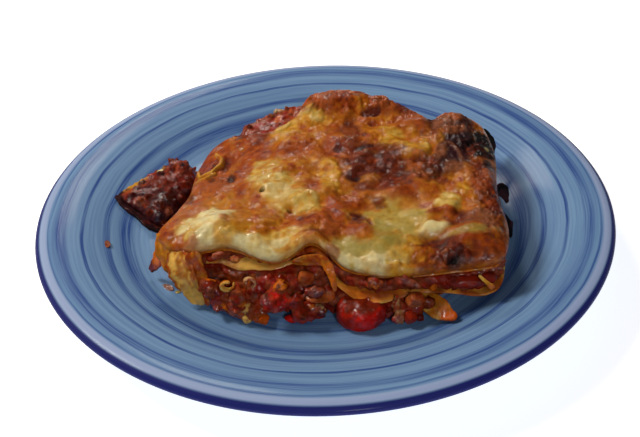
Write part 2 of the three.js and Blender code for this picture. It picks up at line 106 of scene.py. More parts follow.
class Noise:
    """Repeatable noise in space."""

    def __init__(self, seed: int) -> None:
        """Keeps the seed."""
        self.seed = seed

    def lattice(self, cell: Array, channel: int = 0) -> Array:
        """Random number from 0 to 1 for each whole-numbered cell.

        Args:
            cell: whole numbers, with the axes last.
            channel: picks one of several independent numbers.

        Returns:
            One number for each cell.
        """
        mask = 0x7FFFFFFF
        c = cell.astype(np.int64)
        mixed = (c[..., 0] * 73856093) ^ (c[..., 1] * 19349663) ^ (c[..., 2] * 83492791)
        mixed = (mixed ^ ((self.seed + 17 * channel) * 668265263)) & mask
        mixed = ((mixed ^ (mixed >> 13)) * 1274126177) & mask
        mixed = ((mixed ^ (mixed >> 15)) * 668265263) & mask
        return ((mixed ^ (mixed >> 11)) & 0xFFFFF) / 0xFFFFF

    def value(self, points: Array, size: float) -> Array:
        """Smooth noise from -1 to 1 whose hills are about two sizes apart."""
        place = points / size
        low = np.floor(place)
        share = smooth(place - low)
        total = np.zeros(len(points))
        for corner in itertools.product((0, 1), repeat=3):
            weight = np.ones(len(points))
            for axis, bit in enumerate(corner):
                weight = weight * (share[:, axis] if bit else 1 - share[:, axis])
            total += weight * self.lattice(low + np.array(corner))
        return 2 * total - 1

    def layers(self, points: Array, size: float, count: int = 3) -> Array:
        """Sum of noises, each half as large and half as strong as the last."""
        parts = [self.value(points + 31.7 * i, size / 2**i) / 2**i for i in range(count)]
        return np.sum(parts, axis=0) / 1.4

    def cells(self, points: Array, size: float) -> tuple[Array, Array]:
        """Distance to the nearest of many points scattered over the plan, whatever the height.

        Args:
            points: where it is measured.
            size: spacing of the scattered points.

        Returns:
            The distance in sizes, and a random number that belongs to the nearest point.
        """
        place = points / size * (1, 1, 0)
        low = np.floor(place)
        nearest, tag = np.full(len(points), 9.0), np.zeros(len(points))
        for step in itertools.product((-1, 0, 1), (-1, 0, 1), (0,)):
            cell = low + np.array(step)
            offset = np.stack([self.lattice(cell, 1), self.lattice(cell, 2), np.zeros(len(points))], axis=1)
            distance = np.linalg.norm(cell + offset - place, axis=1)
            closer = distance < nearest
            tag = np.where(closer, self.lattice(cell, 5), tag)
            nearest = np.where(closer, distance, nearest)
        return nearest, tag


@dataclass(frozen=True)
class Swell:
    """A smooth hill on a surface, or a hollow where rise is negative."""

    x: float
    y: float
    rise: float
    reach_x: float
    reach_y: float

    def at(self, x: Array, y: Array) -> Array:
        """Height that it adds at each place."""
        far = ((x - self.x) / self.reach_x) ** 2 + ((y - self.y) / self.reach_y) ** 2
        return self.rise * np.exp(-far)


def heaped(swells: Sequence[Swell], x: Array, y: Array) -> Array:
    """Sum of several swells."""
    return np.sum([s.at(x, y) for s in swells], axis=0)


def ripple(x: Array, y: Array, pitch: float) -> Array:
    """Gentle unevenness with hills about three pitches apart."""
    bend = 1.7 * np.sin(y / (pitch * 1.6))
    return np.sin(x / pitch + bend) * np.cos(y / (pitch * 0.9) + 0.6)


@dataclass(frozen=True)
class Outline:
    """Closed outline seen from above, as a smooth curve through its points."""

    points: tuple[Pair, ...]
    middle: Pair
    steps: int = 24

    def table(self) -> tuple[Array, Array]:
        """Radius of the outline against its direction from the middle.

        Returns:
            Rising directions that go once round and a little more, and the radius at each.
        """
        corners = np.array(self.points)
        found = []
        for i in range(len(corners)):
            a, b, c, d = (corners[(i + k) % len(corners)] for k in (-1, 0, 1, 2))
            before, between, after = (np.linalg.norm(q - p) ** 0.5 for p, q in ((a, b), (b, c), (c, d)))
            leave = (b - a) / before - (c - a) / (before + between) + (c - b) / between
            arrive = (c - b) / between - (d - b) / (between + after) + (d - c) / after
            for t in np.arange(self.steps) / self.steps:
                place = (2 * t**3 - 3 * t**2 + 1) * b + (3 * t**2 - 2 * t**3) * c
                bend = (t**3 - 2 * t**2 + t) * leave + (t**3 - t**2) * arrive
                found.append(place + bend * between - self.middle)
        spots = np.array(found)
        angles = np.mod(np.arctan2(spots[:, 1], spots[:, 0]), TURN)
        order = np.argsort(angles)
        angles = angles[order]
        radii = np.hypot(spots[:, 0], spots[:, 1])[order]
        ends = ([angles[-1] - TURN], [angles[0] + TURN])
        return np.concatenate([ends[0], angles, ends[1]]), np.concatenate([radii[-1:], radii, radii[:1]])


class Terrain:
    """Surfaces that part the layers of the food, in the model's own frame."""

    eating_side = (
        (0, 6.5), (74, 6.5), (84, 7), (91, 8.6), (98, 11.6), (108.5, 17.1), (117, 20.8), (126, 23.3),
        (131.5, 24),
    )
    crust_outline = Outline(
        (
            (-74, -43), (-60, -55), (-41, -58), (-23, -63), (-6, -61), (9.5, -69.3), (24, -72.5),
            (56, -71.5), (73, -69.5), (78, -57), (80, -26), (83.5, 10), (81, 34), (74, 39.5), (57, 39),
            (47, 49.5), (32, 58.5), (12, 62.5), (-6, 61), (-13, 49.5), (-21, 40.5), (-31, 37), (-46, 41),
            (-57, 36.5), (-63, 22), (-64, -8), (-70, -31),
        ),
        MIDDLE,
    )
    lip_swells = (
        Swell(-5, -62, 8.5, 8.5, 15), Swell(40, -74, -2.5, 34, 20), Swell(-62, 22, -9.5, 26, 34),
        Swell(12, 64, 7, 28, 16), Swell(-42, -54, 5.5, 16, 12),
    )
    middle_swells = (
        Swell(-39, -66, -2, 7.5, 11), Swell(68, -70, -7, 15, 16), Swell(17, -77, -3, 13, 5),
        Swell(-31, -57, 3, 12, 7),
    )
    crust_swells = (
        Swell(-38, -46, 2.6, 22, 9), Swell(20, -56, 2.2, 13, 10), Swell(48, -58, -2.6, 5, 4),
        Swell(62, -60, 2, 8, 7), Swell(-26, -16, 2.6, 11, 8), Swell(-6, -24, 2.2, 8, 7),
        Swell(-14, -2, 1.8, 9, 7), Swell(34, -38, -2.2, 17, 9), Swell(12, 54, 3, 32, 6),
        Swell(16, 37, -3, 28, 6), Swell(8, 20, 2.4, 34, 7), Swell(44, 2, 1.8, 12, 10),
        Swell(70, 30, 3.6, 9, 7), Swell(77, -22, 3, 5, 28), Swell(-54, 4, 2, 7, 14),
        Swell(-44, 22, -1.6, 7, 8),
    )

    def __init__(self) -> None:
        """Works out the outline once."""
        self.crust_table = self.crust_outline.table()

    def crust_radius(self, angle: Array) -> Array:
        """Radius of the crust's edge at each direction."""
        return np.interp(np.mod(angle, TURN), *self.crust_table)

    def bulged(self, bulges: Sequence[Triple]) -> Radius:
        """Radius of a layer that stands out past the crust.

        Args:
            bulges: direction in degrees, how far out, and spread in degrees of each bulge.

        Returns:
            A function from directions to radii.
        """

        def radius(angle: Array) -> Array:
            """Radius of the layer at each direction."""
            total = self.crust_radius(angle)
            for at, out, spread in bulges:
                turn = np.abs(np.degrees(np.mod(angle, TURN)) - at)
                total = total + out * np.exp(-((np.minimum(turn, 360 - turn) / spread) ** 2))
            return total

        return radius

    def plate_top(self, radius: Array) -> Array:
        """Height of the plate's eating side."""
        radii, heights = zip(*self.eating_side, strict=True)
        return np.interp(radius, radii, heights)

    def floor(self, x: Array, y: Array) -> Array:
        """Where the food starts, a gap above the plate."""
        return self.plate_top(np.hypot(x, y)) + GAP

    def lip(self, x: Array, y: Array) -> Array:
        """Underside of the crust."""
        free = 31.8 + 0.025 * x + 0.024 * y + heaped(self.lip_swells, x, y)
        return np.maximum(free, self.floor(x, y) + 3 * PASTA + 5 * GAP + 2 * THINNEST_RAGU)

    def middle_pasta(self, x: Array, y: Array) -> Array:
        """Underside of the middle sheet, with its fold at the front."""
        low = self.floor(x, y) + PASTA + 2 * GAP + THINNEST_RAGU
        high = self.lip(x, y) - 2 * PASTA - 3 * GAP - THINNEST_RAGU
        behind = np.maximum(0.0, (y + 62) / 17)
        folded = 5 * smooth((1.4 - x) / 3 + 0.5) * np.exp(-(behind**2))
        free = low + 0.66 * (high - low) + folded + heaped(self.middle_swells, x, y)
        return np.minimum(high, np.maximum(low, free + 0.4 * ripple(x, y, 13)))

    def crust_top(self, x: Array, y: Array, inward: Array) -> Array:
        """Baked surface of the crust without its fine relief."""
        relief = heaped(self.crust_swells, x, y) + 0.8 * ripple(x, y, 6.5) + 0.6 * ripple(y, x, 4.1)
        return self.lip(x, y) + 4.8 + 2.4 * smooth(inward / 14) + relief * smooth(inward / 6)


TERRAIN = Terrain()


class Tone(Enum):
    """Colours of the food, each with how dry and rough it is baked, from 0 to 1."""

    MILK = ("#d6c48c", 0.0)
    CREAM = ("#c5a452", 0.06)
    BUTTER = ("#c28822", 0.15)
    GOLD = ("#ac6414", 0.3)
    AMBER = ("#963d0a", 0.45)
    RUST = ("#6a2108", 0.65)
    WINE = ("#40100c", 0.75)
    CHAR = ("#100807", 1.0)
    SALMON = ("#9a4a1c", 0.55)
    TAN = ("#80482c", 0.8)
    OLIVE = ("#978338", 0.02)
    PLUM = ("#331518", 0.7)
    SAUCE = ("#88200a", 0.1)
    BLOOD = ("#5c1209", 0.15)
    TOMATO = ("#be160b", 0.05)
    CARROT = ("#b84c0a", 0.1)
    ONION = ("#bd8f5c", 0.05)
    MINCE = ("#8a4022", 0.6)
    EGG = ("#d8a64c", 0.1)
    OIL = ("#c8640f", 0.0)
    # FLAME is the pasta's orange made lighter: painted light on the front of the middle sheet
    FLAME = ("#e07a1c", 0.0)

    @property
    def colour(self) -> Array:
        """Linear red, green and blue."""
        return np.array(to_linear(self.value[0])[:3])

    @property
    def bake(self) -> float:
        """How dry and rough it is."""
        return self.value[1]


# Colours that the white sauce goes through as it browns
BROWNING = (Tone.MILK, Tone.CREAM, Tone.BUTTER, Tone.GOLD, Tone.AMBER, Tone.RUST, Tone.WINE, Tone.CHAR)


@dataclass(frozen=True)
class Patch:
    """An oval of one tone seen from above, raised or sunk where rise isn't zero."""

    tone: Tone
    x: float
    y: float
    reach_x: float
    reach_y: float
    turn: float = 0.0
    amount: float = 1.0
    rise: float = 0.0

    def cover(self, x: Array, y: Array, ragged: Array, halo: float = 0.0) -> Array:
        """How much of it each place gets, from 0 to 1.

        Args:
            x: places along X.
            y: places along Y.
            ragged: noise that frays its edge.
            halo: how much wider it is made, as a share of its size.

        Returns:
            The share of this patch at each place.
        """
        c, s = math.cos(math.radians(self.turn)), math.sin(math.radians(self.turn))
        along = ((x - self.x) * c + (y - self.y) * s) / self.reach_x
        across = ((y - self.y) * c - (x - self.x) * s) / self.reach_y
        far = np.sqrt(along**2 + across**2) + 0.42 * ragged
        return self.amount * smooth((1.36 + halo - far) / 0.68)


@dataclass(frozen=True)
class Fold:
    """A ridge or groove of one tone along a line seen from above."""

    tone: Tone
    line: tuple[Pair, ...]
    width: float
    rise: float = 0.0
    amount: float = 1.0

    def cover(self, x: Array, y: Array, ragged: Array, halo: float = 0.0) -> Array:
        """How much of it each place gets, from 0 to 1.

        Args:
            x: places along X.
            y: places along Y.
            ragged: noise that frays its edge.
            halo: how much wider it is made, as a share of its width.

        Returns:
            The share of this fold at each place.
        """
        nearest = np.full(len(x), 1e9)
        for (ax, ay), (bx, by) in itertools.pairwise(self.line):
            dx, dy = bx - ax, by - ay
            share = np.clip(((x - ax) * dx + (y - ay) * dy) / (dx * dx + dy * dy), 0, 1)
            nearest = np.minimum(nearest, np.hypot(x - ax - share * dx, y - ay - share * dy))
        return self.amount * smooth(1.35 + halo - nearest / self.width + 0.3 * ragged)


def rows(text: str) -> list[tuple[str, list[str]]]:
    """Rows of a table, parted by new lines or semicolons, without its comments.

    Args:
        text: the table, with words parted by spaces.

    Returns:
        The first word of each row, and the rest of its words.
    """
    lines = [line for line in text.splitlines() if not line.strip().startswith("#")]
    words = [row.split() for row in ";".join(lines).split(";")]
    return [(first, rest) for first, *rest in filter(None, words)]


def spots(text: str) -> tuple[Patch | Fold, ...]:
    """Patches and folds from a table.

    Args:
        text: rows of a patch's tone and numbers, or of a fold's tone, the word fold, its width, rise
            and amount, and X and Y of each point of its line.

    Returns:
        One patch or fold for each row, in the same order.
    """
    found: list[Patch | Fold] = []
    for tone, words in rows(text):
        if words[0] == "fold":
            width, rise, amount, *line = map(float, words[1:])
            found.append(
                Fold(Tone[tone], tuple(zip(line[::2], line[1::2], strict=True)), width, rise, amount)
            )
        else:
            found.append(Patch(Tone[tone], *map(float, words)))
    return tuple(found)


class Canvas:
    """Colour and dryness of a piece's points, painted on in turn."""

    def __init__(self, count: int, base: Tone) -> None:
        """Starts all in one tone."""
        self.tint = np.tile(base.colour, (count, 1))
        self.bake = np.full(count, base.bake)

    def paint(self, tone: Tone, share: Array, stray: Array | None = None) -> None:
        """Covers each point with a share of a tone.

        Args:
            tone: what it is painted with.
            share: how much of it each point gets.
            stray: steps by which a tone of the browning goes lighter or darker at each point.
        """
        held = np.clip(share, 0, 1)
        colour, bake = tone.colour[None, :], np.full(len(held), tone.bake)
        if stray is not None and tone in BROWNING:
            at = np.clip(BROWNING.index(tone) + stray, 0, len(BROWNING) - 1)
            steps = np.arange(len(BROWNING))
            colours = np.array([t.colour for t in BROWNING])
            colour = np.stack([np.interp(at, steps, colours[:, i]) for i in range(3)], axis=1)
            bake = np.interp(at, steps, [t.bake for t in BROWNING])
        self.tint = self.tint * (1 - held[:, None]) + colour * held[:, None]
        self.bake = self.bake * (1 - held) + bake * held

    def shade(self, factor: Array) -> None:
        """Makes each point darker or lighter."""
        self.tint = np.clip(self.tint * factor[:, None], 0, 1)


@dataclass(frozen=True)
class Shape:
    """Points in millimetres and faces of a closed form."""

    points: Array
    faces: list[Any]

    def joined(self, other: "Shape") -> "Shape":
        """Both forms as one."""
        moved = [tuple(int(i) + len(self.points) for i in face) for face in other.faces]
        return Shape(np.concatenate([self.points, other.points]), [*self.faces, *moved])


def lofted(loops: Array, first: Array | None = None, last: Array | None = None) -> Shape:
    """Closed form from a row of loops, capped by a fan to the middle at each end.

    Args:
        loops: loops by points by XYZ, from the underside up or from start to end.
        first: middle of the first cap, or None for the mean of its loop.
        last: middle of the last cap, or None for the mean of its loop.

    Returns:
        The closed form.
    """
    rows, count, _ = loops.shape
    start = loops[0].mean(axis=0) if first is None else first
    end = loops[-1].mean(axis=0) if last is None else last
    points = np.concatenate([loops.reshape(-1, 3), [start], [end]])
    ring = np.arange(count)
    after = (ring + 1) % count
    faces: list[Any] = []
    for row in range(rows - 1):
        low, high = row * count, (row + 1) * count
        faces.extend(zip(low + ring, low + after, high + after, high + ring, strict=True))
    top = (rows - 1) * count
    faces.extend(zip(np.full(count, rows * count), after, ring, strict=True))
    faces.extend(zip(np.full(count, rows * count + 1), top + ring, top + after, strict=True))
    return Shape(points, faces)


def in_scene(name: str, data: Any) -> Object:
    """New object with that data, in the scene."""
    made = bpy.data.objects.new(name, data)
    bpy.context.scene.collection.objects.link(made)
    return made


def place_piece(
    name: str, form: Shape | Mesh, canvas: Canvas | None, material: Material,
    nodes: Sequence[str] = (),
) -> Object:
    """Makes a finished piece that rides on the plate.

    Args:
        name: name of the piece.
        form: its points and faces, or its mesh in metres.
        canvas: colour and dryness of its points, where it has them.
        material: its finish.
        nodes: model nodes that it stands for.

    Returns:
        The new object.
    """
    mesh = mesh_of(form) if isinstance(form, Shape) else form
    if canvas is not None:
        rgba = np.concatenate([canvas.tint, np.ones((len(canvas.tint), 1))], axis=1)
        tint = mesh.attributes.new("tint", "FLOAT_COLOR", "POINT")
        tint.data.foreach_set("color", rgba.astype(np.float32).ravel())
        bake = mesh.attributes.new("bake", "FLOAT", "POINT")
        bake.data.foreach_set("value", canvas.bake.astype(np.float32))
    mesh.name = name
    mesh.shade_smooth()
    mesh.materials.clear()
    mesh.materials.append(material)
    piece = in_scene(name, mesh)
    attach(piece, "root")
    if nodes:
        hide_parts(*nodes)
    LOG.info("%s: %d faces", name, len(mesh.polygons))
    return piece


def mesh_points(mesh: Mesh) -> tuple[Array, Array]:
    """Points of a mesh in millimetres, and the outward directions there."""
    points = np.empty(3 * len(mesh.vertices))
    mesh.vertices.foreach_get("co", points)
    normals = np.empty(3 * len(mesh.vertices))
    mesh.vertex_normals.foreach_get("vector", normals)
    return points.reshape(-1, 3) / MM, normals.reshape(-1, 3)


def evened(mesh: Mesh, voxel: float) -> Mesh:
    """Even, fine skin round closed forms, which fuses those that overlap.

    Args:
        mesh: the forms, in metres.
        voxel: size of the new faces in millimetres.

    Returns:
        The new mesh, in metres.
    """
    copy = in_scene("copy", mesh)
    remesh = copy.modifiers.new("even", "REMESH")
    remesh.mode = "VOXEL"
    remesh.voxel_size = voxel * MM
    relax = copy.modifiers.new("relax", "SMOOTH")
    relax.factor = 0.5
    relax.iterations = 2
    made = bpy.data.meshes.new_from_object(copy.evaluated_get(bpy.context.evaluated_depsgraph_get()))
    bpy.data.objects.remove(copy)
    return made


def mesh_of(shape: Shape) -> Mesh:
    """Mesh of a form, in metres."""
    mesh = bpy.data.meshes.new("form")
    mesh.from_pydata((shape.points * MM).tolist(), [], [tuple(map(int, face)) for face in shape.faces])
    return mesh


def shape_of(mesh: Mesh) -> Shape:
    """Form of a mesh, in millimetres."""
    return Shape(mesh_points(mesh)[0], [tuple(face.vertices) for face in mesh.polygons])


def add_node(
    tree: NodeTree, kind: str, inputs: dict[int | str, Any] | Sequence[Any] = (),
    out: int | str = 0, **settings: Any,
) -> NodeSocket:
    """Adds a node with its settings and links.

    Args:
        tree: the tree that it goes in.
        kind: type name of the node.
        inputs: a value, or the output that feeds it, for each input by name or number, or in order.
        out: the output that is wanted, by name or number.
        settings: other settings of the node.

    Returns:
        That output.
    """
    node = tree.nodes.new(kind)
    for name, setting in settings.items():
        setattr(node, name, setting)
    for key, given in inputs.items() if isinstance(inputs, dict) else enumerate(inputs):
        if isinstance(given, NodeSocket):
            tree.links.new(given, node.inputs[key])
        else:
            node.inputs[key].default_value = given
    return node.outputs[out]


def new_material(name: str) -> tuple[Material, NodeTree, Node]:
    """Empty material with its tree and output node."""
    material = bpy.data.materials.new(name)
    material.use_nodes = True
    material.node_tree.nodes.clear()
    return material, material.node_tree, material.node_tree.nodes.new("ShaderNodeOutputMaterial")


@dataclass(frozen=True)
class WetFood:
    """Cooked food: colour from its points, a grained skin, and a film of fat over it."""

    name: str
    moist: float = 0.3
    dry: float = 0.6
    grain: float = 1.1
    relief: float = 0.22
    film: float = 0.6
    glow: float = 0.2
    depth: float = 3.0
    mottle: float = 0.3
    beading: float = 0.25
    bead: float = 1.7
    shine: float = 1.45

    def build(self) -> Material:
        """Makes the material.

        Returns:
            A material that reads the colour attribute tint and the number bake.
        """
        material, tree, output = new_material(self.name)
        place = add_node(tree, "ShaderNodeTexCoord", out="Object")
        tint = add_node(tree, "ShaderNodeAttribute", out="Color", attribute_name="tint")
        bake = add_node(tree, "ShaderNodeAttribute", out="Fac", attribute_name="bake")
        # Size in millimetres, detail and roughness of each noise
        sizes = ((2.4, 5.0, 0.6), (self.grain, 4.0, 0.65), (self.bead, 1.0, 0.4), (6.5, 3.0, 0.6))
        broad, fine, tiny, pools = (
            add_node(
                tree,
                "ShaderNodeTexNoise",
                {"Vector": place, "Scale": 1 / (size * MM), "Detail": detail, "Roughness": sharp},
            )
            for size, detail, sharp in sizes
        )
        # A map range takes its value, the two ends that it comes from and the two that it goes to
        swing = add_node(tree, "ShaderNodeMapRange", (broad, 0.3, 0.7, -1.0))
        amount = add_node(tree, "ShaderNodeMapRange", (bake, 0, 1, 0.3 * self.mottle, 1.3 * self.mottle))
        light = add_node(tree, "ShaderNodeMath", (swing, amount, 1.0), operation="MULTIPLY_ADD")
        colour = add_node(tree, "ShaderNodeVectorMath", {0: tint, "Scale": light}, operation="SCALE")
        rough = add_node(tree, "ShaderNodeMapRange", (bake, 0, 1, self.moist, self.dry))
        uneven = add_node(tree, "ShaderNodeMapRange", (fine, 0.3, 0.7, 0.75, 1.2))
        rough = add_node(tree, "ShaderNodeMath", (rough, uneven), operation="MULTIPLY")
        rise = add_node(tree, "ShaderNodeMapRange", (bake, 0, 1, 0.35, 1.0))
        grained = {"Strength": rise, "Distance": self.relief * MM, "Height": fine}
        bump = add_node(tree, "ShaderNodeBump", grained)
        beaded = {"Strength": 1.0, "Distance": self.beading * MM, "Height": tiny, "Normal": bump}
        beads = add_node(tree, "ShaderNodeBump", beaded)
        film = add_node(tree, "ShaderNodeMapRange", (pools, 0.48, 0.57, 0.04 * self.film, self.film))
        surface = add_node(
            tree, "ShaderNodeBsdfPrincipled",
            {
                "Base Color": colour, "Roughness": rough, "IOR": 1.42, "Specular IOR Level": 0.08,
                "Subsurface Weight": self.glow, "Subsurface Radius": (1.0, 0.45, 0.2),
                "Subsurface Scale": self.depth * MM, "Coat Weight": film, "Coat Roughness": 0.12,
                "Coat IOR": self.shine, "Normal": bump, "Coat Normal": beads,
            },
        )
        tree.links.new(surface, output.inputs["Surface"])
        return material


# Baked white sauce: pale and soft where it is moist, grained and duller where it browned
CRUST_FINISH = WetFood("baked_white_sauce", grain=1.3, relief=0.4, film=0.7, glow=0.12, beading=0.4)
# Cooked pasta: light sinks deep into the sheet, so thin edges glow
PASTA_FINISH = WetFood(
    "cooked_pasta", grain=1.6, relief=0.3, film=0.75, glow=0.3, mottle=0.35, beading=0.4, bead=1.2,
    shine=1.65,
)
# Ragu: lumps of mince under red oily sauce, dark and wet all over, with small sharp glints
RAGU_FINISH = WetFood(
    "ragu", moist=0.4, dry=0.55, grain=1.2, relief=0.4, film=0.8, glow=0.08, mottle=0.5, beading=0.22,
    bead=1.0, shine=1.7,
)
# Baked meat of the loose corner: darker and drier than the ragu, with small glints
MEAT_FINISH = WetFood(
    "baked_meat", moist=0.5, grain=1.2, relief=0.4, film=0.85, glow=0.05, mottle=0.5, beading=0.2,
    bead=0.8, shine=1.7,
)
# Tomato flesh: a smooth taut skin that glows red from inside
TOMATO_FINISH = WetFood(
    "tomato_flesh", moist=0.25, grain=2.0, relief=0.3, film=0.6, glow=0.3, mottle=0.4, beading=0.35,
    bead=0.9, shine=1.6,
)
# Burnt flakes: dull black with few glints
CHAR_FINISH = WetFood("burnt_flake", dry=0.8, grain=0.9, relief=0.4, film=0.25, glow=0.0)


@dataclass(frozen=True)
class Glaze:
    """Glazed stoneware: brushed rings of darker blue under a clear gloss."""

    body: str = "#7295ba"
    deep: str = "#27488a"
    navy: str = "#1c2266"
    pale: str = "#b4badb"
    # Rings as place along the section in millimetres, half width, and strength
    rings: tuple[Triple, ...] = (
        (66, 3.0, 0.35), (75.6, 0.9, 0.6), (81, 0.9, 0.65), (98, 3.6, 0.85), (108, 1.5, 0.85),
        (119.4, 0.8, 1.0), (129, 2.4, 0.75), (134, 0.5, 0.7),
    )
    pale_band: Pair = (134.9, 138.2)
    rim_band: Pair = (138.4, 144.0)

    def build(self) -> Material:
        """Makes the material.

        Returns:
            A material that reads arc, the distance along the plate's section in millimetres.
        """
        material, tree, output = new_material("blue_stoneware_glaze")
        place = add_node(tree, "ShaderNodeTexCoord", out="Object")
        arc = add_node(tree, "ShaderNodeAttribute", out="Fac", attribute_name="arc")
        wander = add_node(tree, "ShaderNodeTexNoise", {"Vector": place, "Scale": 22.0, "Detail": 2.0})
        wobble = add_node(tree, "ShaderNodeMapRange", (wander, 0, 1, -1.4, 1.4))
        drawn = add_node(tree, "ShaderNodeMath", (arc, wobble), operation="ADD")
        # Noise on a thin cylinder, with the place along the section as height, makes strokes run round
        flat = add_node(tree, "ShaderNodeVectorMath", (place, (1, 1, 0)), operation="MULTIPLY")
        around = add_node(tree, "ShaderNodeVectorMath", (flat,), operation="NORMALIZE")
        spun = add_node(tree, "ShaderNodeVectorMath", {0: around, "Scale": 2.2}, operation="SCALE")
        across = add_node(tree, "ShaderNodeCombineXYZ", {"Z": drawn})
        streaks = add_node(tree, "ShaderNodeVectorMath", (spun, across), operation="ADD")
        strokes = {"Vector": streaks, "Scale": 0.55, "Detail": 5.0, "Roughness": 0.62}
        brush = add_node(tree, "ShaderNodeTexNoise", strokes)
        load = add_node(tree, "ShaderNodeTexNoise", {"Vector": streaks, "Scale": 1.3, "Detail": 3.0})
        cover: Any = 0.0
        for middle, half, strength in self.rings:
            away = add_node(tree, "ShaderNodeMath", (drawn, middle), operation="SUBTRACT")
            away = add_node(tree, "ShaderNodeMath", (away,), operation="ABSOLUTE")
            ends = (away, half * 1.5, half * 0.5, 0, strength)
            ring = add_node(tree, "ShaderNodeMapRange", ends, interpolation_type="SMOOTHSTEP")
            cover = add_node(tree, "ShaderNodeMath", (ring, cover), operation="MAXIMUM")
        patchy = add_node(tree, "ShaderNodeMapRange", (load, 0.3, 0.65, 0.2, 0.95))
        cover = add_node(tree, "ShaderNodeMath", (cover, patchy), operation="MULTIPLY")
        wash = add_node(tree, "ShaderNodeMapRange", (brush, 0.38, 0.7, 0, 0.42))
        cover = add_node(tree, "ShaderNodeMath", (cover, wash), operation="ADD", use_clamp=True)
        # A mix of colours has its factor at 0, its colours at 6 and 7, and its result at 2
        tones = {0: cover, 6: to_linear(self.body), 7: to_linear(self.deep)}
        colour = add_node(tree, "ShaderNodeMix", tones, 2, data_type="RGBA")
        for (start, end), paint, amount in (
            (self.pale_band, self.pale, 0.5), (self.rim_band, self.navy, 1.0),
        ):
            inner = add_node(tree, "ShaderNodeMapRange", (arc, start - 0.5, start + 0.5))
            outer = add_node(tree, "ShaderNodeMapRange", (arc, end + 0.5, end - 0.5, 0, amount))
            band = add_node(tree, "ShaderNodeMath", (inner, outer), operation="MULTIPLY")
            colour = add_node(
                tree, "ShaderNodeMix", {0: band, 6: colour, 7: to_linear(paint)}, 2, data_type="RGBA",
            )
        glossy = {
            "Base Color": colour, "Roughness": 0.55, "Specular IOR Level": 0.1, "Coat Weight": 0.07,
            "Coat Roughness": 0.12, "Coat IOR": 1.5,
        }
        tree.links.new(add_node(tree, "ShaderNodeBsdfPrincipled", glossy), output.inputs["Surface"])
        return material


@dataclass
class Plate:
    """Round stoneware plate, turned from its section."""

    radius: float = 137.3
    rim: float = 24.0
    well: float = 6.5
    foot: float = 70.0
    around: int = 360
    finish: Glaze = field(default_factory=Glaze)

    def section(self) -> Array:
        """Points of the section from the middle of the eating side to the middle underneath."""
        wall = [(74, self.well), (84, 7), (91, 8.6), (98, 11.6), (108.5, 17.1), (117, 20.8), (126, 23.3)]
        edge = [(131.5, 24), (134.4, 23.7), (136.8, 22.3), (137.3, 20.8), (136.2, 19.1)]
        back = [(116, 14.6), (98, 6.2), (86, 2.6), (74, 2)]
        foot = [(72, 0.35), (71.4, 0), (67.6, 0), (67, 0.35), (65, 2.2)]
        flat = [(r, self.well) for r in (12, 30, 50, 64)]
        under = [(r, 2.2) for r in (50, 30, 12)]
        return np.array([*flat, *wall, *edge, *back, *foot, *under], dtype=float)

    def smoothed(self) -> Array:
        """Section with its bends rounded."""
        points = self.section()
        for _ in range(2):
            ahead = points[1:] * 0.25 + points[:-1] * 0.75
            later = points[1:] * 0.75 + points[:-1] * 0.25
            points = np.concatenate([points[:1], np.stack([ahead, later], 1).reshape(-1, 2), points[-1:]])
        points[:, 0] *= self.radius / points[:, 0].max()
        points[:, 1] = np.clip(points[:, 1], 0, self.rim)
        return points

    def build(self) -> Object:
        """Makes the plate.

        Returns:
            The plate's object.
        """
        section = self.smoothed()
        steps = np.linalg.norm(np.diff(section, axis=0), axis=1)
        arc = section[0, 0] + np.concatenate([[0], np.cumsum(steps)])
        angles = np.arange(self.around) * TURN / self.around
        rows = section[::-1]
        loops = np.stack(
            [
                rows[:, :1] * np.cos(angles), rows[:, :1] * np.sin(angles),
                np.repeat(rows[:, 1:], self.around, axis=1),
            ],
            axis=2,
        )
        shape = lofted(loops, np.array([0, 0, rows[0, 1]]), np.array([0, 0, rows[-1, 1]]))
        piece = place_piece("plate", shape, None, self.finish.build(), ["plate"])
        values = np.concatenate([np.repeat(arc[::-1], self.around), [arc[-1] + section[-1, 0], 0]])
        held = piece.data.attributes.new("arc", "FLOAT", "POINT")
        held.data.foreach_set("value", values.astype(np.float32))
        return piece


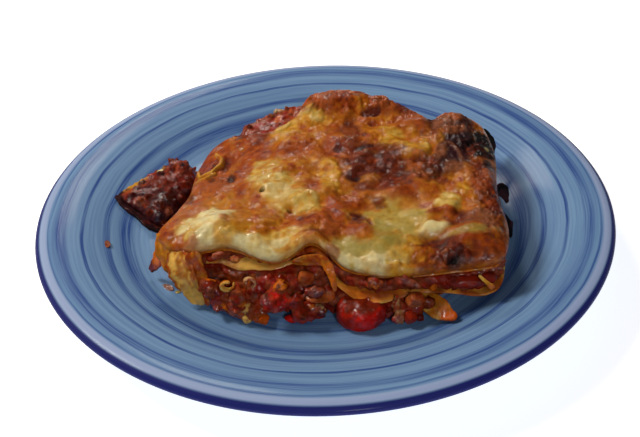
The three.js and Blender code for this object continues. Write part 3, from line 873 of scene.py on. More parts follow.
@dataclass
class Crust:
    """Baked top: an even grid drawn to the outline, rounded over its edge."""

    steps: int = 288
    edge: float = 3.0
    nose: float = 1.9
    # How far it stays below the model's top, and the height over which its peaks are pressed down
    headroom: float = 0.2
    softening: float = 1.5
    noise: Noise = field(default_factory=lambda: Noise(11))
    # Back, from left to right; the cream spot at -20 38 is partly painted highlight
    # Pool at the right; the sunk olive patch at 11 -61 is painted shade on the white, and the milk spot at
    # 47 -51.5 is partly painted highlight
    # Small spots over the larger ones; the olive spots at 30 -60, 15 -63 and 23 -65 are painted shade on
    # the white near the front
    # The cream spots at 38 20 and -2 43 are partly painted highlight
    # The two small pits are sunk and painted near black, which is partly painted shade in them
    # White lobe and the band along the front; the small cream spot at -58 -51 is a painted highlight
    # Wrinkles, folds and pits; the MILK fold at -13 -38 is a painted highlight along the edge of a pale
    # blob
    patches: tuple[Patch | Fold, ...] = spots("""
        # Left side, from the back to the front
        AMBER -54 18 13 22; AMBER -34 22 9 15 10 .9; RUST -47 14 2.6 10 0 .85 -.9
        AMBER -38 30 4.5 3 20 .8 .3; RUST -40 36 5 3.4 -20 .9 .4; SALMON -50 -8 12 12 0 .95 .6
        WINE -53 -4 2.4 3.4 20 .75 -.4; WINE -43.5 -4 2.6 4.5 0 .95 -.5; GOLD -43 -19 4 7 -15 .8
        SALMON -63 -28 6 12 -15; GOLD -64 -30 4 9 -15 .7; AMBER -69 -42 6 6 30 .9
        # Back, from left to right
        BUTTER -17 33 8.5 14 -15 1 .6; RUST -29.5 31 4 6.5 0 .9; CREAM -20 38 3 6 -20 .6 .5
        BUTTER -7 42 7 5 20 1 .5; CREAM -6 47.5 5 3 20 .9 .4; GOLD -3 31 9 9 0 .85; GOLD -8 20 8 8 0 .8
        AMBER -13 13 11 6 0 .85; AMBER 6 30 4 9 0 .8; RUST 15 30 5.5 14 0 .85 -.5; GOLD 26 25 4 5 0 .8
        AMBER 27 37 4 3 0 .8; BUTTER 35 22 4.5 9 25 .95 .3; AMBER 45 31 9 11 0 .9 1
        GOLD 41 29 4 5 0 .7 .3; SALMON 45 32 6 8 0 .7 .5; WINE 57 31 3.4 8 0 .9 -.6
        AMBER 18 52 40 8 -4 .95; SALMON 3 51 5 5 0 .8 1; RUST 13 53 4.5 4 0 .7 .9; GOLD 22 51 4 4 0 .8 .6
        SALMON 31 50 4 5 0 .9 1.1; SALMON 37 46 4 5 30 .8 .9; WINE 26 43.5 4.5 2.2 10 .9 -1
        WINE 35 55 8 2.6 -25 .7; RUST 45 48 6 7 -30 .85
        # Corner at the back right
        TAN 66 27 9 11 0 .95 .8; PLUM 67 12 11 13 -20 1; PLUM 61 -6 11 9 30 .95; PLUM 74 26 4 8 0 .85 -.5
        CHAR 77.5 8 6.5 16 0 1; OLIVE 79.5 6 .9 2.5 0 .6 .4; SALMON fold 1.8 1 .8 60 34 64 33 69 27
        TAN fold 1.8 1.1 .8 59 26 64 20 70 20; TAN fold 1.4 .9 .5 62 10 66 3 66 -4
        CHAR 69.5 10 3.8 4.6 20 .85 -1; TAN 64 20 4.5 3 0 .8 .6
        # Folded terrace right of the middle
        BUTTER 35 13 6 5 -35 .95 .8; BUTTER 45 6 7.5 9 20 .95 1.2; GOLD 45 17 6 6 0 .8
        TAN 56 2 3 8 -20 .9 1.1; GOLD 57 15 2.4 6 -10 .8 .8
        # Middle
        RUST 24 -6 18 16 -10 .95; WINE 24 -2 17 12 -10 .35; AMBER 5 11 7 9 0 .9; RUST 15 13 9 5 0 .85
        WINE 8 10.5 2.4 1.8 0 .8 -.5; WINE 20 10.5 4.5 2 10 .95 -.5; SALMON 46 -9 7 8 -20 .8 .5
        WINE 38 -11 4 5 0 .7; TAN 43 -13 1.8 6 10 .7 .8; WINE 52 -12 4 7 0 .8 -.6
        WINE 14 -14 4 3.2 0 .95 -.4; GOLD 22 -15 5 3 0 .6 .4; RUST 34 -19 8 4.5 0 .85
        # Pale cream left of the middle
        CREAM -28 -5 6.5 11 5 .8 .3; AMBER -38 4 4.5 11 0 .9; AMBER -28 13 5 5 0 .8
        CREAM -18 -20 10 12 0 .85 .7; MILK -20 -22 5 6 0 .4 .4; GOLD -8 -8 6 12 0 .9
        AMBER -16 -4.5 3.4 3 0 .9 .3; GOLD -21 -6.5 2.6 2 0 .8 .2; AMBER -5 -19 4 6 0 .8 -.4
        BUTTER 3.5 -11 4.5 14 0 .9 .6; GOLD 2.4 -5 2.6 3 0 .85 .2; GOLD -35 -28 5 11 0 .8
        CREAM -21 -36 6 5 0 .7; CREAM -8 -33 6 6 0 .9 1; AMBER -15 -41 3 2.4 0 .8 -.3
        # Browned lumps before them
        GOLD -25 -41 5.5 9 -10 .9 .7; SALMON -25 -40 2.6 4.5 -10 .4 .4; AMBER -8 -46 8.5 6.5 0 .9 .4
        SALMON -12 -44 3.5 3 0 .7 .4; RUST -10 -46.5 1.8 1.8 0 .8 -.3; AMBER 4 -42 5 16 0 .9 .5
        SALMON 3 -52 4 6 0 .8 .5; AMBER 14 -33 6 6 0 .85; RUST 15 -44 4.5 6 0 .85; RUST -4 -57 6 3 -20 .7
        # White lobe and the band along the front
        MILK -28 -60 26 4.5 -7 1 .4; MILK -50 -43 10 10 10 1 1.3; MILK -52 -54 7 4 0 1 .5
        MILK -62 -45 4 3 -30 .95 .8; BUTTER -43 -54 4.5 4 0 .8 .4; GOLD -41 -60 3.4 2.6 0 .6
        GOLD -42.5 -47 2.6 2.6 0 .85 -.3; BUTTER -36 -50 5 4 20 .7; GOLD -33 -47 2.6 2 0 .8 .3
        BUTTER -15 -60 6 3 10 .85; GOLD -6 -61 4 4 0 .8; GOLD -47 -31 2 1.4 0 .6
        AMBER -61 -53 6 3.5 -25 .8 -.4; CREAM -58 -51 2.4 1.8 0 .9 .5; CREAM -18 -55 9 3 10 .8
        GOLD -27 -52 4 2 10 .9 .2
        # Pool at the right
        CREAM 33 -42 14 14 10 .95; OLIVE 33 -44 12 12 10 .5; AMBER 40 -26 13 5 0 .85
        GOLD 43 -33 10 5 0 .8; BUTTER 24 -33 4.5 4 0 .8; RUST 24.5 -31 3 2.4 20 .85
        OLIVE 25 -55 5 8 30 .7 -.5; MILK 12 -66 11 7 -15 1 .6; OLIVE 11 -61 8 4.5 -15 .65 -.8
        AMBER 13 -52 7 4 0 .85 .4; MILK 23 -69 6 5 0 1 .6; CREAM 31 -66 5 4 0 .9 .3
        BUTTER 30 -74 7 3.4 0 1 .3; MILK 19 -74 6 2.6 0 .9 .2; BUTTER 37.5 -63 4.5 6 30 1 .5
        OLIVE 24 -62 5 4 20 .6 -.4; MILK 47 -51.5 6 3.2 15 .95 .8; GOLD 48 -35 4 6 0 .9 .4
        CREAM 56 -35 4.5 7 0 .95 .6; GOLD 64 -22 7 10 15 .9 .5; BUTTER 62 -27 3 5 15 .7 .3
        TAN 62 -10 5 4.5 0 .85 .3; GOLD 68 -14 2 8 0 .7 .5; AMBER 58 -23 3 5 0 .7
        # Right edge and the burnt patch at the front
        RUST 74 -28 6 28 0 .95; WINE 76 -30 4 26 0 .6; SALMON 71 -26 2.4 12 5 .5 .5; RUST 58 -46 7 6 0 .9
        TAN 67 -50 7 8 0 .85 .6; AMBER 60 -58 11 5.5 5 .95 .3; OLIVE 60 -56.5 11 2.6 5 .65 .3
        RUST 46 -65 12 8 0 .9; RUST 66 -68 11 5 5 .85; WINE 48 -60 5 3 0 .7 .4; WINE 46 -65 8 4 0 .5
        GOLD 62 -73 14 2.2 4 .8; WINE 53 -69.5 6 4.2 0 .85 .4; RUST 47.3 -68.6 1.6 1.8 0 .9 1.2
        SALMON 50 -66 1.5 1.2 0 .8 1; RUST 54.5 -65.3 1.9 1.2 0 .9 1.2; RUST 59 -68.4 1.6 1.7 0 .9 1.1
        RUST 56.4 -73 1.8 1.2 0 .9 1; SALMON 50 -73 1.7 1.2 0 .7 1; CHAR 53.2 -69.6 2 1.4 20 1 -1.2
        CHAR 50.6 -70.4 1 1.2 0 1 -1.2; CHAR 55.6 -67.6 1.4 .8 30 .9 -.8
        # Small spots over the larger ones
        OLIVE 30 -60 4 3.4 0 .7 -.2; OLIVE 15 -63 5 3 -10 .6; SALMON 36 46 3.4 3 0 .8 .4
        RUST 20 21 3 3 0 .8; AMBER -15 -38 3 3 0 .8; AMBER 20 -34 3.4 3 0 .7; SALMON 76 -18 2.4 4 0 .7 .4
        GOLD -20 -5 3 2.4 0 .6; AMBER -29 -31 3.4 3 0 .7; RUST 56 20 2.4 4 0 .7; GOLD 3 40 4 3.4 0 .8 .3
        OLIVE 65 -59 4 1.6 5 .5; CREAM 55 -38 3.4 3 0 .7 .5; RUST 26 36 3 3 0 .7; RUST 55 -18 2.6 3 0 .8
        AMBER -38 -18 3 6 0 .8; CHAR 77 -8 2.4 4 0 .8; GOLD -11 -20 3.4 3 0 .8; AMBER 55 -44 3 2.4 0 .8
        RUST 27 -1 4 3 0 .7; RUST 57 -66 2.4 2 0 .6 .5; GOLD 38.5 -66 3.4 3 0 .85; RUST 25 -34 3 2.4 0 .7
        CREAM 52 -37 3 2.4 0 .8; AMBER 42.5 -65 2.6 3 0 .7; GOLD -53 -58 4 2 0 .5; AMBER 48 -71 3 2 0 .7
        CREAM 38 20 3 3 0 .6; GOLD -20 -5 3.4 3 0 .7; MILK -19 -58 4 2 0 .7; RUST 68 -63 9 3.4 5 .75
        AMBER 3 -64 3 3 0 .7; BUTTER 25 -75 3 2.4 0 .7; CREAM -2 43 3.4 3 0 .7 .4; WINE 48 -10 2.6 3 0 .7
        WINE -62 -17 3 4 0 .6; OLIVE 20 -40 3 3 0 .6; BUTTER 38 -60 3 2.4 0 .7; OLIVE 23 -65 3 2.4 0 .6
        RUST 30 -22 4 3 0 .8; AMBER 45 -36 3 2.4 0 .8; CHAR 75 0 2.4 3 0 .9; CHAR 77 17 2.4 4 0 .9
        OLIVE 44 -42 3 2.4 0 .6; CREAM 57 -37 3 2.6 0 .9 .3; RUST 18 -21 4 3 0 .8; RUST 47 -17 3 3 0 .7
        OLIVE 40 -41 3 3 0 .6; WINE 31 50 3 2 0 .4; TAN 64 19 3 2.6 0 .7; GOLD 10 -6 3 3 0 .7
        BUTTER 3 40 3 3 0 .5; AMBER 68 -64 4 2 0 .6; RUST 21 -28 3 3 0 .5; CREAM 34 -65 3 2 0 .6
        GOLD -29 -1 3 3 0 .5; RUST 26 -22 3 2.4 0 .6; RUST 51 20 3 3 0 .5
        # Wrinkles, folds and pits
        BUTTER fold 1.1 1.6 .95 -62 12 -60 4 -54 3 -49.5 9 -50 18 -54 26
        BUTTER fold 1 1.2 .9 -63 2 -57 -1 -52 2; WINE fold 1.3 -.9 .7 -58 8 -55 6 -53 9 -53 16
        RUST fold 1.2 -.7 .9 12 -41 16 -41 19 -44 20 -49; AMBER fold 1.6 .8 .9 46 -42 52 -40.5 56 -42
        RUST fold 1.2 -1 .8 38 -1 45 -4 52 -6; MILK fold .9 .3 .6 -13 -38 -13 -35
        CHAR -28 -21 1 1 0 1 -2.2; CHAR -15.3 -35.3 1.1 .9 0 1 -2.2
    """)
    # Where the baked skin is wrinkled and blistered, as X, Y, reaches and amount
    wrinkled: tuple[tuple[float, float, float, float, float], ...] = (
        (16, 51, 42, 8, 0.9), (25, -5, 19, 17, 0.6), (50, -8, 14, 12, 0.9), (67, 15, 13, 24, 1.0),
        (73, -38, 7, 32, 1.0), (50, -66, 14, 7, 0.7), (-34, 24, 14, 12, 0.55), (-50, -8, 12, 14, 0.45),
    )

    def loops_of(self, x: Array, y: Array, inward: Array) -> tuple[Array, Canvas]:
        """Height and colours of the baked surface.

        Args:
            x: places along X.
            y: places along Y.
            inward: how far in from the edge each place is.

        Returns:
            The height at each place, and the canvas.
        """
        depth = np.clip(inward / self.edge, 0, 1)
        rounded = np.sqrt(1 - (1 - depth) ** 2)
        # The noise goes down the edge with the surface, so that it isn't drawn out there
        flat = np.stack([x, y, 5.5 * rounded + np.clip(inward, -9, 0)], axis=1)
        ragged = self.noise.layers(flat, 5.0, 4)
        rough = np.full_like(x, 0.15)
        for spot_x, spot_y, reach_x, reach_y, amount in self.wrinkled:
            share = smooth(1.4 - np.hypot((x - spot_x) / reach_x, (y - spot_y) / reach_y) + 0.2 * ragged)
            rough = np.maximum(rough, amount * share)
        bent = flat + 1.6 * np.stack([self.noise.layers(flat + k, 5.0, 2) for k in (11, 29, 47)], axis=1)
        puffs = 0.45 - self.noise.cells(bent, 8.5)[0] ** 1.6
        knobs = 0.45 - self.noise.cells(bent + 20, 3.3)[0] ** 1.5
        sheared = np.stack([bent[:, 0] + 0.35 * bent[:, 1], 0.45 * bent[:, 1], bent[:, 2]], axis=1)
        folds = 0.3 - np.abs(self.noise.layers(sheared, 3.6, 2))
        broad = 0.3 - np.abs(self.noise.layers(bent + 70, 9.0, 2))
        blisters = self.noise.layers(flat + 80, 2.0, 2)
        relief = 0.85 * puffs + 0.45 * knobs * (0.7 + rough) + 0.9 * broad * (0.3 + rough)
        relief += rough * (1.5 * folds + 0.55 * blisters)
        relief += self.noise.layers(flat + 40, 1.2, 2) * (0.12 + 0.2 * rough)
        nearest, tag = self.noise.cells(bent + 90, 4.6)
        freckles = smooth((0.45 - nearest) / 0.35) * (tag > 0.72)
        stray = 0.6 * ragged + 0.45 * self.noise.layers(
            flat + 60, 1.9, 3,
        ) + 0.6 * knobs - rough * 0.8 * blisters
        stray += 0.9 * freckles * (1 - rough)
        canvas = Canvas(len(x), Tone.GOLD)
        canvas.paint(Tone.GOLD, np.ones_like(x), stray)
        for patch in self.patches:
            share = patch.cover(x, y, ragged)
            relief = (relief + 1.4 * patch.rise * share) * (1 - 0.6 * share * (patch.tone is Tone.OLIVE))
            if patch.tone in (Tone.MILK, Tone.CREAM):
                canvas.paint(Tone.BUTTER, 0.6 * patch.cover(x, y, ragged, 0.25), 0.5 * stray)
            canvas.paint(patch.tone, share, stray)
        canvas.paint(Tone.GOLD, 0.45 * smooth((0.5 - inward) / 1.5), stray)
        canvas.shade(1 - 0.45 * rough * smooth((folds - 0.16) / 0.14) + 0.15 * blisters)
        fade = smooth(inward / 2.2)
        top = TERRAIN.crust_top(x, y, inward) + relief * (0.4 + 0.6 * fade)
        ceiling = CAD_BOX[1][2] / MM - self.headroom
        soft = self.softening
        top = np.where(top > ceiling - soft, ceiling - soft * np.exp(-(top - ceiling + soft) / soft), top)
        middle = TERRAIN.lip(x, y) + self.nose
        return middle + (top - middle) * rounded, canvas

    def build(self, material: Material) -> Object:
        """Makes the crust.

        Args:
            material: its finish.

        Returns:
            The crust's object.
        """
        n = self.steps + 1
        line = np.linspace(-1, 1, n)
        u, v = (g.ravel() for g in np.meshgrid(line, line))
        wide = np.abs(u) > np.abs(v)
        reach = np.where(wide, u, v)
        ratio = np.where(wide, v, u) / np.where(reach == 0, 1, reach)
        turn = np.where(wide, math.pi / 4 * ratio, math.pi / 2 - math.pi / 4 * ratio)
        turn = np.where(reach < 0, turn + math.pi, turn)
        share = 1 - (1 - np.abs(reach)) ** 1.35
        border = TERRAIN.crust_radius(turn) + 0.5 * np.sin(9 * turn)
        radius = share * border
        x = MIDDLE[0] + radius * np.cos(turn)
        y = MIDDLE[1] + radius * np.sin(turn)
        z, canvas = self.loops_of(x, y, border - radius)
        top = np.stack([x, y, z], axis=1)
        at = np.arange(n * n).reshape(n, n)
        quads = np.stack([at[:-1, :-1], at[:-1, 1:], at[1:, 1:], at[1:, :-1]], axis=-1).reshape(-1, 4)
        rim = np.concatenate([at[0, :-1], at[:-1, -1], at[-1, :0:-1], at[:0:-1, 0]])
        side, side_canvas = self.side(top[rim], border[rim], turn[rim])
        rows = len(side) // len(rim)
        count = len(rim)
        ring = np.arange(count)
        after = (ring + 1) % count
        faces = list(map(tuple, quads))
        previous = rim
        for row in range(rows):
            here = len(top) + row * count + ring
            faces.extend(zip(previous[after], previous, here, here[after], strict=True))
            previous = here
        centre = len(top) + len(side)
        faces.extend(zip(previous[after], previous, np.full(count, centre), strict=True))
        low = np.array([[MIDDLE[0], MIDDLE[1], TERRAIN.lip(*np.array([[MIDDLE[0]], [MIDDLE[1]]]))[0]]])
        points = np.concatenate([top, side, low])
        canvas.tint = np.concatenate([canvas.tint, side_canvas.tint, canvas.tint[:1]])
        canvas.bake = np.concatenate([canvas.bake, side_canvas.bake, canvas.bake[:1]])
        return place_piece("crust", Shape(points, faces), canvas, material, ["crust"])

    def side(self, rim: Array, border: Array, turn: Array) -> tuple[Array, Canvas]:
        """Rings below the nose of the edge and across the underside.

        Args:
            rim: points of the grid's border, at the nose; not used.
            border: radius of each.
            turn: direction of each.

        Returns:
            The points of all rings, and their canvas.
        """
        rings = []
        for angle, inset in ((25, 0), (50, 0), (75, 0), (90, 0), (90, 5), (90, 16), (90, 34)):
            a = math.radians(angle)
            radius = border - 1.2 * (1 - math.cos(a)) - inset
            x, y = MIDDLE[0] + radius * np.cos(turn), MIDDLE[1] + radius * np.sin(turn)
            rings.append(np.stack([x, y, TERRAIN.lip(x, y) + self.nose * (1 - math.sin(a))], axis=1))
        points = np.concatenate(rings)
        below = np.tile(border, len(rings)) - np.hypot(points[:, 0] - MIDDLE[0], points[:, 1] - MIDDLE[1])
        drop = TERRAIN.lip(points[:, 0], points[:, 1]) + self.nose - points[:, 2]
        _, canvas = self.loops_of(points[:, 0], points[:, 1], -drop - below)
        canvas.paint(Tone.AMBER, np.full(len(points), 0.3))
        return points, canvas


@dataclass
class Sheet:
    """Pasta sheet that runs through the food, with a soft wavy edge."""

    name: str
    radius: Radius
    under: Height
    wave: float
    pitch: float
    seed: int
    base: Tone = Tone.EGG
    patches: tuple[Patch, ...] = ()
    around: int = 840
    thickness: float = PASTA

    def build(self, material: Material) -> Object:
        """Makes the sheet.

        Args:
            material: its finish.

        Returns:
            The sheet's object.
        """
        noise = Noise(self.seed)
        angles = np.arange(self.around) * TURN / self.around
        insets = (38, 22, 12, 7, 4, 2.2, 1.1, 0.4, 0.08)
        rows = [(inset, -1.0) for inset in insets] + [(0, 0.0)] + [(inset, 1.0) for inset in insets[::-1]]
        out = self.radius(angles)
        spots = np.stack([np.cos(angles), np.sin(angles), 0 * angles], axis=1) * out[:, None]
        ragged = noise.layers(spots, 5.0, 3)
        sway = noise.layers(spots + 50, self.pitch, 2)
        loops = []
        for inset, side in rows:
            radius = out - inset + 0.5 * ragged * math.exp(-inset / 3)
            x, y = MIDDLE[0] + radius * np.cos(angles), MIDDLE[1] + radius * np.sin(angles)
            half = self.thickness / 2 * min(1.0, math.sqrt(max(0.0, inset) / 0.9))
            lift = self.wave * sway * math.exp(-inset / 5)
            middle = self.under(x, y) + self.thickness / 2 + side * half + lift
            fine = noise.layers(np.stack([x, y, middle], axis=1), 1.7, 2)
            loops.append(np.stack([x, y, middle + 0.16 * fine * math.exp(-inset / 6)], axis=1))
        shape = lofted(np.array(loops))
        canvas = Canvas(len(shape.points), self.base)
        fine = noise.layers(shape.points, 6.0, 3)
        canvas.paint(Tone.OIL, 0.7 * smooth((fine + 0.1) / 0.5))
        canvas.paint(Tone.SAUCE, 0.6 * smooth((noise.layers(shape.points + 90, 4.0, 3) - 0.2) / 0.3))
        for patch in self.patches:
            canvas.paint(patch.tone, patch.cover(shape.points[:, 0], shape.points[:, 1], fine))
        canvas.shade(1 + 0.2 * noise.layers(shape.points + 20, 2.0, 2))
        return place_piece(self.name, shape, canvas, material, [self.name])


@dataclass
class Strip:
    """End of a sheet, a string or a flake, along a path."""

    name: str
    path: tuple[Triple, ...]
    widths: tuple[Pair, ...]
    thickness: float
    facing: Triple
    base: Tone
    stain: Tone
    slot: str = "pasta"
    is_node: bool = True
    wave: float = 0.4
    seed: int = 3
    edging: Tone | None = None
    tip: Tone | None = None
    ridged: float = 0.0
    steps: int = 72
    section: int = 32

    def build(self, material: Material) -> Object:
        """Makes the strip.

        Args:
            material: its finish.

        Returns:
            The strip's object.
        """
        noise = Noise(self.seed)
        knots = np.array(self.path)
        t = np.linspace(0, 1, self.steps)
        at = t * (len(knots) - 1)
        index = np.clip(at.astype(int), 0, len(knots) - 2)
        share = (at - index)[:, None]
        padded = np.concatenate([[2 * knots[0] - knots[1]], knots, [2 * knots[-1] - knots[-2]]])
        a, b, c, d = (padded[index + k] for k in range(4))
        centre = 0.5 * (
            2 * b + (c - a) * share + (
                2 * a - 5 * b + 4 * c - d
            ) * share**2 + (3 * b - a - 3 * c + d) * share**3
        )
        along = np.gradient(centre, axis=0)
        along /= np.linalg.norm(along, axis=1)[:, None]
        face = np.array(self.facing) / np.linalg.norm(self.facing)
        side = np.cross(face, along)
        side /= np.linalg.norm(side, axis=1)[:, None]
        up = np.cross(along, side)
        places, sizes = zip(*self.widths, strict=True)
        ends = np.sqrt(np.clip(1 - np.abs(2 * t - 1) ** 14, 0.02, 1))
        half = np.interp(t, places, sizes) / 2 * ends * (1 + 0.22 * noise.layers(centre + 9, 2.4, 3))
        round_ = np.arange(self.section) * TURN / self.section
        flat = np.sign(np.cos(round_)) * np.abs(np.cos(round_)) ** 0.7
        thick = np.sign(np.sin(round_)) * np.abs(np.sin(round_)) ** 0.8
        curl = self.wave * noise.layers(centre + 40, 4.0, 2)
        bow = 0.12 * half[:, None] * (flat**2) + 0.35 * noise.layers(
            np.repeat(centre, self.section, axis=0) + np.tile(flat, self.steps)[:, None] * (5, 0, 0), 2.2, 2
        ).reshape(self.steps, self.section)
        travelled = np.cumsum(np.linalg.norm(np.diff(centre, axis=0, prepend=centre[:1]), axis=1))
        lanes = np.stack(
            [0.25 * travelled[:, None] + 0 * flat, flat * half[:, None], 0 * half[:, None] * flat],
            axis=2,
        )
        ridges = noise.layers(lanes.reshape(-1, 3), 1.5, 2)
        bow = bow + self.ridged * ridges.reshape(self.steps, self.section)
        offset = curl[:, None] * flat + bow + thick * (self.thickness / 2 * ends)[:, None]
        loops = centre[:, None] + side[:, None] * (
            flat * half[:, None]
        )[..., None] + up[:, None] * offset[..., None]
        shape = lofted(loops)
        canvas = Canvas(len(shape.points), self.base)
        streaks = np.append(ridges, (0, 0)) * self.ridged
        canvas.paint(self.stain, smooth((noise.layers(shape.points, 3.5, 3) + 1.6 * streaks + 0.05) / 0.45))
        stray = 0.2 * noise.layers(shape.points + 30, 3.0, 3)
        if self.edging is not None:
            aside = np.append(np.tile(np.abs(flat), self.steps), (0, 0))
            canvas.paint(self.edging, 0.9 * smooth((aside - 0.62 + stray) / 0.2))
        if self.tip is not None:
            ahead = np.append(np.repeat(t, self.section), (0, 1))
            canvas.paint(self.tip, 0.95 * smooth((ahead - 0.5 + stray) / 0.3))
        canvas.shade(1 + 0.25 * noise.layers(shape.points + 70, 2.0, 2))
        nodes = [self.name] if self.is_node else []
        return place_piece(self.name, shape, canvas, material, nodes)


def ball(subdivisions: int) -> Shape:
    """Even ball one millimetre across."""
    form = bmesh.new()
    bmesh.ops.create_icosphere(form, subdivisions=subdivisions, radius=0.5)
    form.verts.ensure_lookup_table()
    shape = Shape(
        np.array([v.co for v in form.verts]), [[v.index for v in face.verts] for face in form.faces]
    )
    form.free()
    return shape


@dataclass(frozen=True)
class Bit:
    """One chopped piece of food, more of a block the squarer it is."""

    place: Triple
    size: Triple
    turn: Triple
    tone: Tone
    square: float = 0.0

    def form(self, noise: Noise, unevenness: float, at: Array, detail: int = 4) -> Shape:
        """Its surface.

        Args:
            noise: what makes it uneven.
            unevenness: how uneven it is, as a share of its size.
            at: where its middle goes.
            detail: how finely it is divided.

        Returns:
            The closed form in place.
        """
        unit = ball(detail)
        blocky = 1 / np.maximum(np.abs(2 * unit.points).max(axis=1, keepdims=True), 0.1)
        spots = unit.points * (1 + self.square * (blocky - 1)) * self.size
        bulge = 1 + unevenness * noise.layers(spots + 19 * np.array(self.place), max(self.size) * 0.45, 3)
        turn = np.array(Euler([math.radians(a) for a in self.turn]).to_matrix())
        return Shape((spots * bulge[:, None]) @ turn.T + at, unit.faces)


def bits(text: str) -> tuple[Bit, ...]:
    """Chopped pieces from a table.

    Args:
        text: rows of tone, place, size, turn and, where it isn't zero, how square the piece is.

    Returns:
        One piece for each row, in the same order.
    """
    found = [(Tone[tone], list(map(float, words))) for tone, words in rows(text)]
    return tuple(Bit(tuple(n[:3]), tuple(n[3:6]), tuple(n[6:9]), tone, *n[9:]) for tone, n in found)


@dataclass
class Crumbs:
    """Lumps of mince and vegetable strewn over a body's open sides by geometry nodes."""

    smallest: float
    largest: float
    spacing: float
    seed: int
    tones: tuple[tuple[Tone, float], ...]
    forms: int = 9
    lumpiness: float = 0.75

    def variants(self) -> Collection:
        """A collection of uneven lumps about one metre across.

        Returns:
            The collection, which isn't in the scene.
        """
        held = bpy.data.collections.new("crumb_forms")
        for i in range(self.forms):
            noise = Noise(self.seed + i)
            long = 0.9 + 0.5 * float(noise.lattice(np.array([i, 1, 2])))
            bit = Bit((0, 0, 0), (long, 0.85, 0.62), (0, 0, 0), Tone.MINCE, 0.35)
            shape = bit.form(noise, self.lumpiness, np.zeros(3), 2)
            mesh = bpy.data.meshes.new(f"crumb_{i}")
            mesh.from_pydata(shape.points.tolist(), [], [tuple(face) for face in shape.faces])
            held.objects.link(bpy.data.objects.new(mesh.name, mesh))
        return held

    def tree(self, forms: Collection, material: Material) -> NodeTree:
        """Builds the node tree that strews the lumps.

        Args:
            forms: the lumps to choose from.
            material: their finish.

        Returns:
            A tree with inputs for the body, spacing, smallest and largest size and seed.
        """
        tree = bpy.data.node_groups.new("crumbs_strewn", "GeometryNodeTree")
        tree.interface.new_socket("Body", in_out="INPUT", socket_type="NodeSocketGeometry")
        for name, kind in (
            ("Spacing", "Float"), ("Smallest", "Float"), ("Largest", "Float"), ("Seed", "Int"),
        ):
            tree.interface.new_socket(name, in_out="INPUT", socket_type=f"NodeSocket{kind}")
        tree.interface.new_socket("Lumps", in_out="OUTPUT", socket_type="NodeSocketGeometry")
        given = tree.nodes.new("NodeGroupInput").outputs
        open_side = add_node(tree, "GeometryNodeInputNamedAttribute", {"Name": "open"}, data_type="FLOAT")
        strewing = {
            "Mesh": given["Body"], "Distance Min": given["Spacing"], "Density Max": 4e6,
            "Density Factor": open_side, "Seed": given["Seed"],
        }
        spread = add_node(
            tree, "GeometryNodeDistributePointsOnFaces", strewing, distribute_method="POISSON",
        )
        choice = {"Collection": forms, "Separate Children": True, "Reset Children": True}
        lumps = add_node(tree, "GeometryNodeCollectionInfo", choice)
        # A random value has inputs 0 and 1 and output 0 for vectors, inputs 2 and 3 and output 1 for floats
        sizes = {2: given["Smallest"], 3: given["Largest"]}
        size = add_node(tree, "FunctionNodeRandomValue", sizes, 1, data_type="FLOAT")
        turns = ((0, 0, 0), (TURN, TURN, TURN))
        spin = add_node(tree, "FunctionNodeRandomValue", turns, data_type="FLOAT_VECTOR")
        kind = add_node(tree, "FunctionNodeRandomValue", {"Seed": 5}, 1, data_type="FLOAT")
        placing = {
            "Points": spread, "Instance": lumps, "Pick Instance": True, "Rotation": spin, "Scale": size,
        }
        chosen = add_node(tree, "GeometryNodeInstanceOnPoints", placing)
        storing = {"Geometry": chosen, "Name": "kind", "Value": kind}
        stored = add_node(
            tree, "GeometryNodeStoreNamedAttribute", storing, data_type="FLOAT", domain="INSTANCE",
        )
        real = add_node(tree, "GeometryNodeRealizeInstances", (stored,))
        finished = add_node(tree, "GeometryNodeSetMaterial", {"Geometry": real, "Material": material})
        tree.links.new(finished, tree.nodes.new("NodeGroupOutput").inputs[0])
        return tree

    def strewn(self, body: Mesh, density: Array, material: Material) -> tuple[Shape, list[Tone]]:
        """Strews the lumps over a body.

        Args:
            body: the mesh that they lie on.
            density: from 0 to 1 for each of its points.
            material: their finish.

        Returns:
            All the lumps as one form, and the tone of each of its points.
        """
        host = in_scene("host", body.copy())
        held = host.data.attributes.new("open", "FLOAT", "POINT")
        held.data.foreach_set("value", density.astype(np.float32))
        tree = self.tree(self.variants(), material)
        modifier = host.modifiers.new("strewn", "NODES")
        modifier.node_group = tree
        inputs = {
            "Spacing": self.spacing * MM, "Smallest": self.smallest * MM, "Largest": self.largest * MM,
            "Seed": self.seed,
        }
        for socket in tree.interface.items_tree:
            if socket.name in inputs:
                modifier[socket.identifier] = inputs[socket.name]
        mesh = bpy.data.meshes.new_from_object(host.evaluated_get(bpy.context.evaluated_depsgraph_get()))
        host.modifiers.remove(modifier)
        bpy.data.objects.remove(host)
        kinds = np.empty(len(mesh.vertices), dtype=np.float32)
        mesh.attributes["kind"].data.foreach_get("value", kinds)
        limits = np.cumsum([share for _, share in self.tones])
        picked = np.minimum(np.searchsorted(limits, kinds), len(self.tones) - 1)
        return shape_of(mesh), [self.tones[i][0] for i in picked]


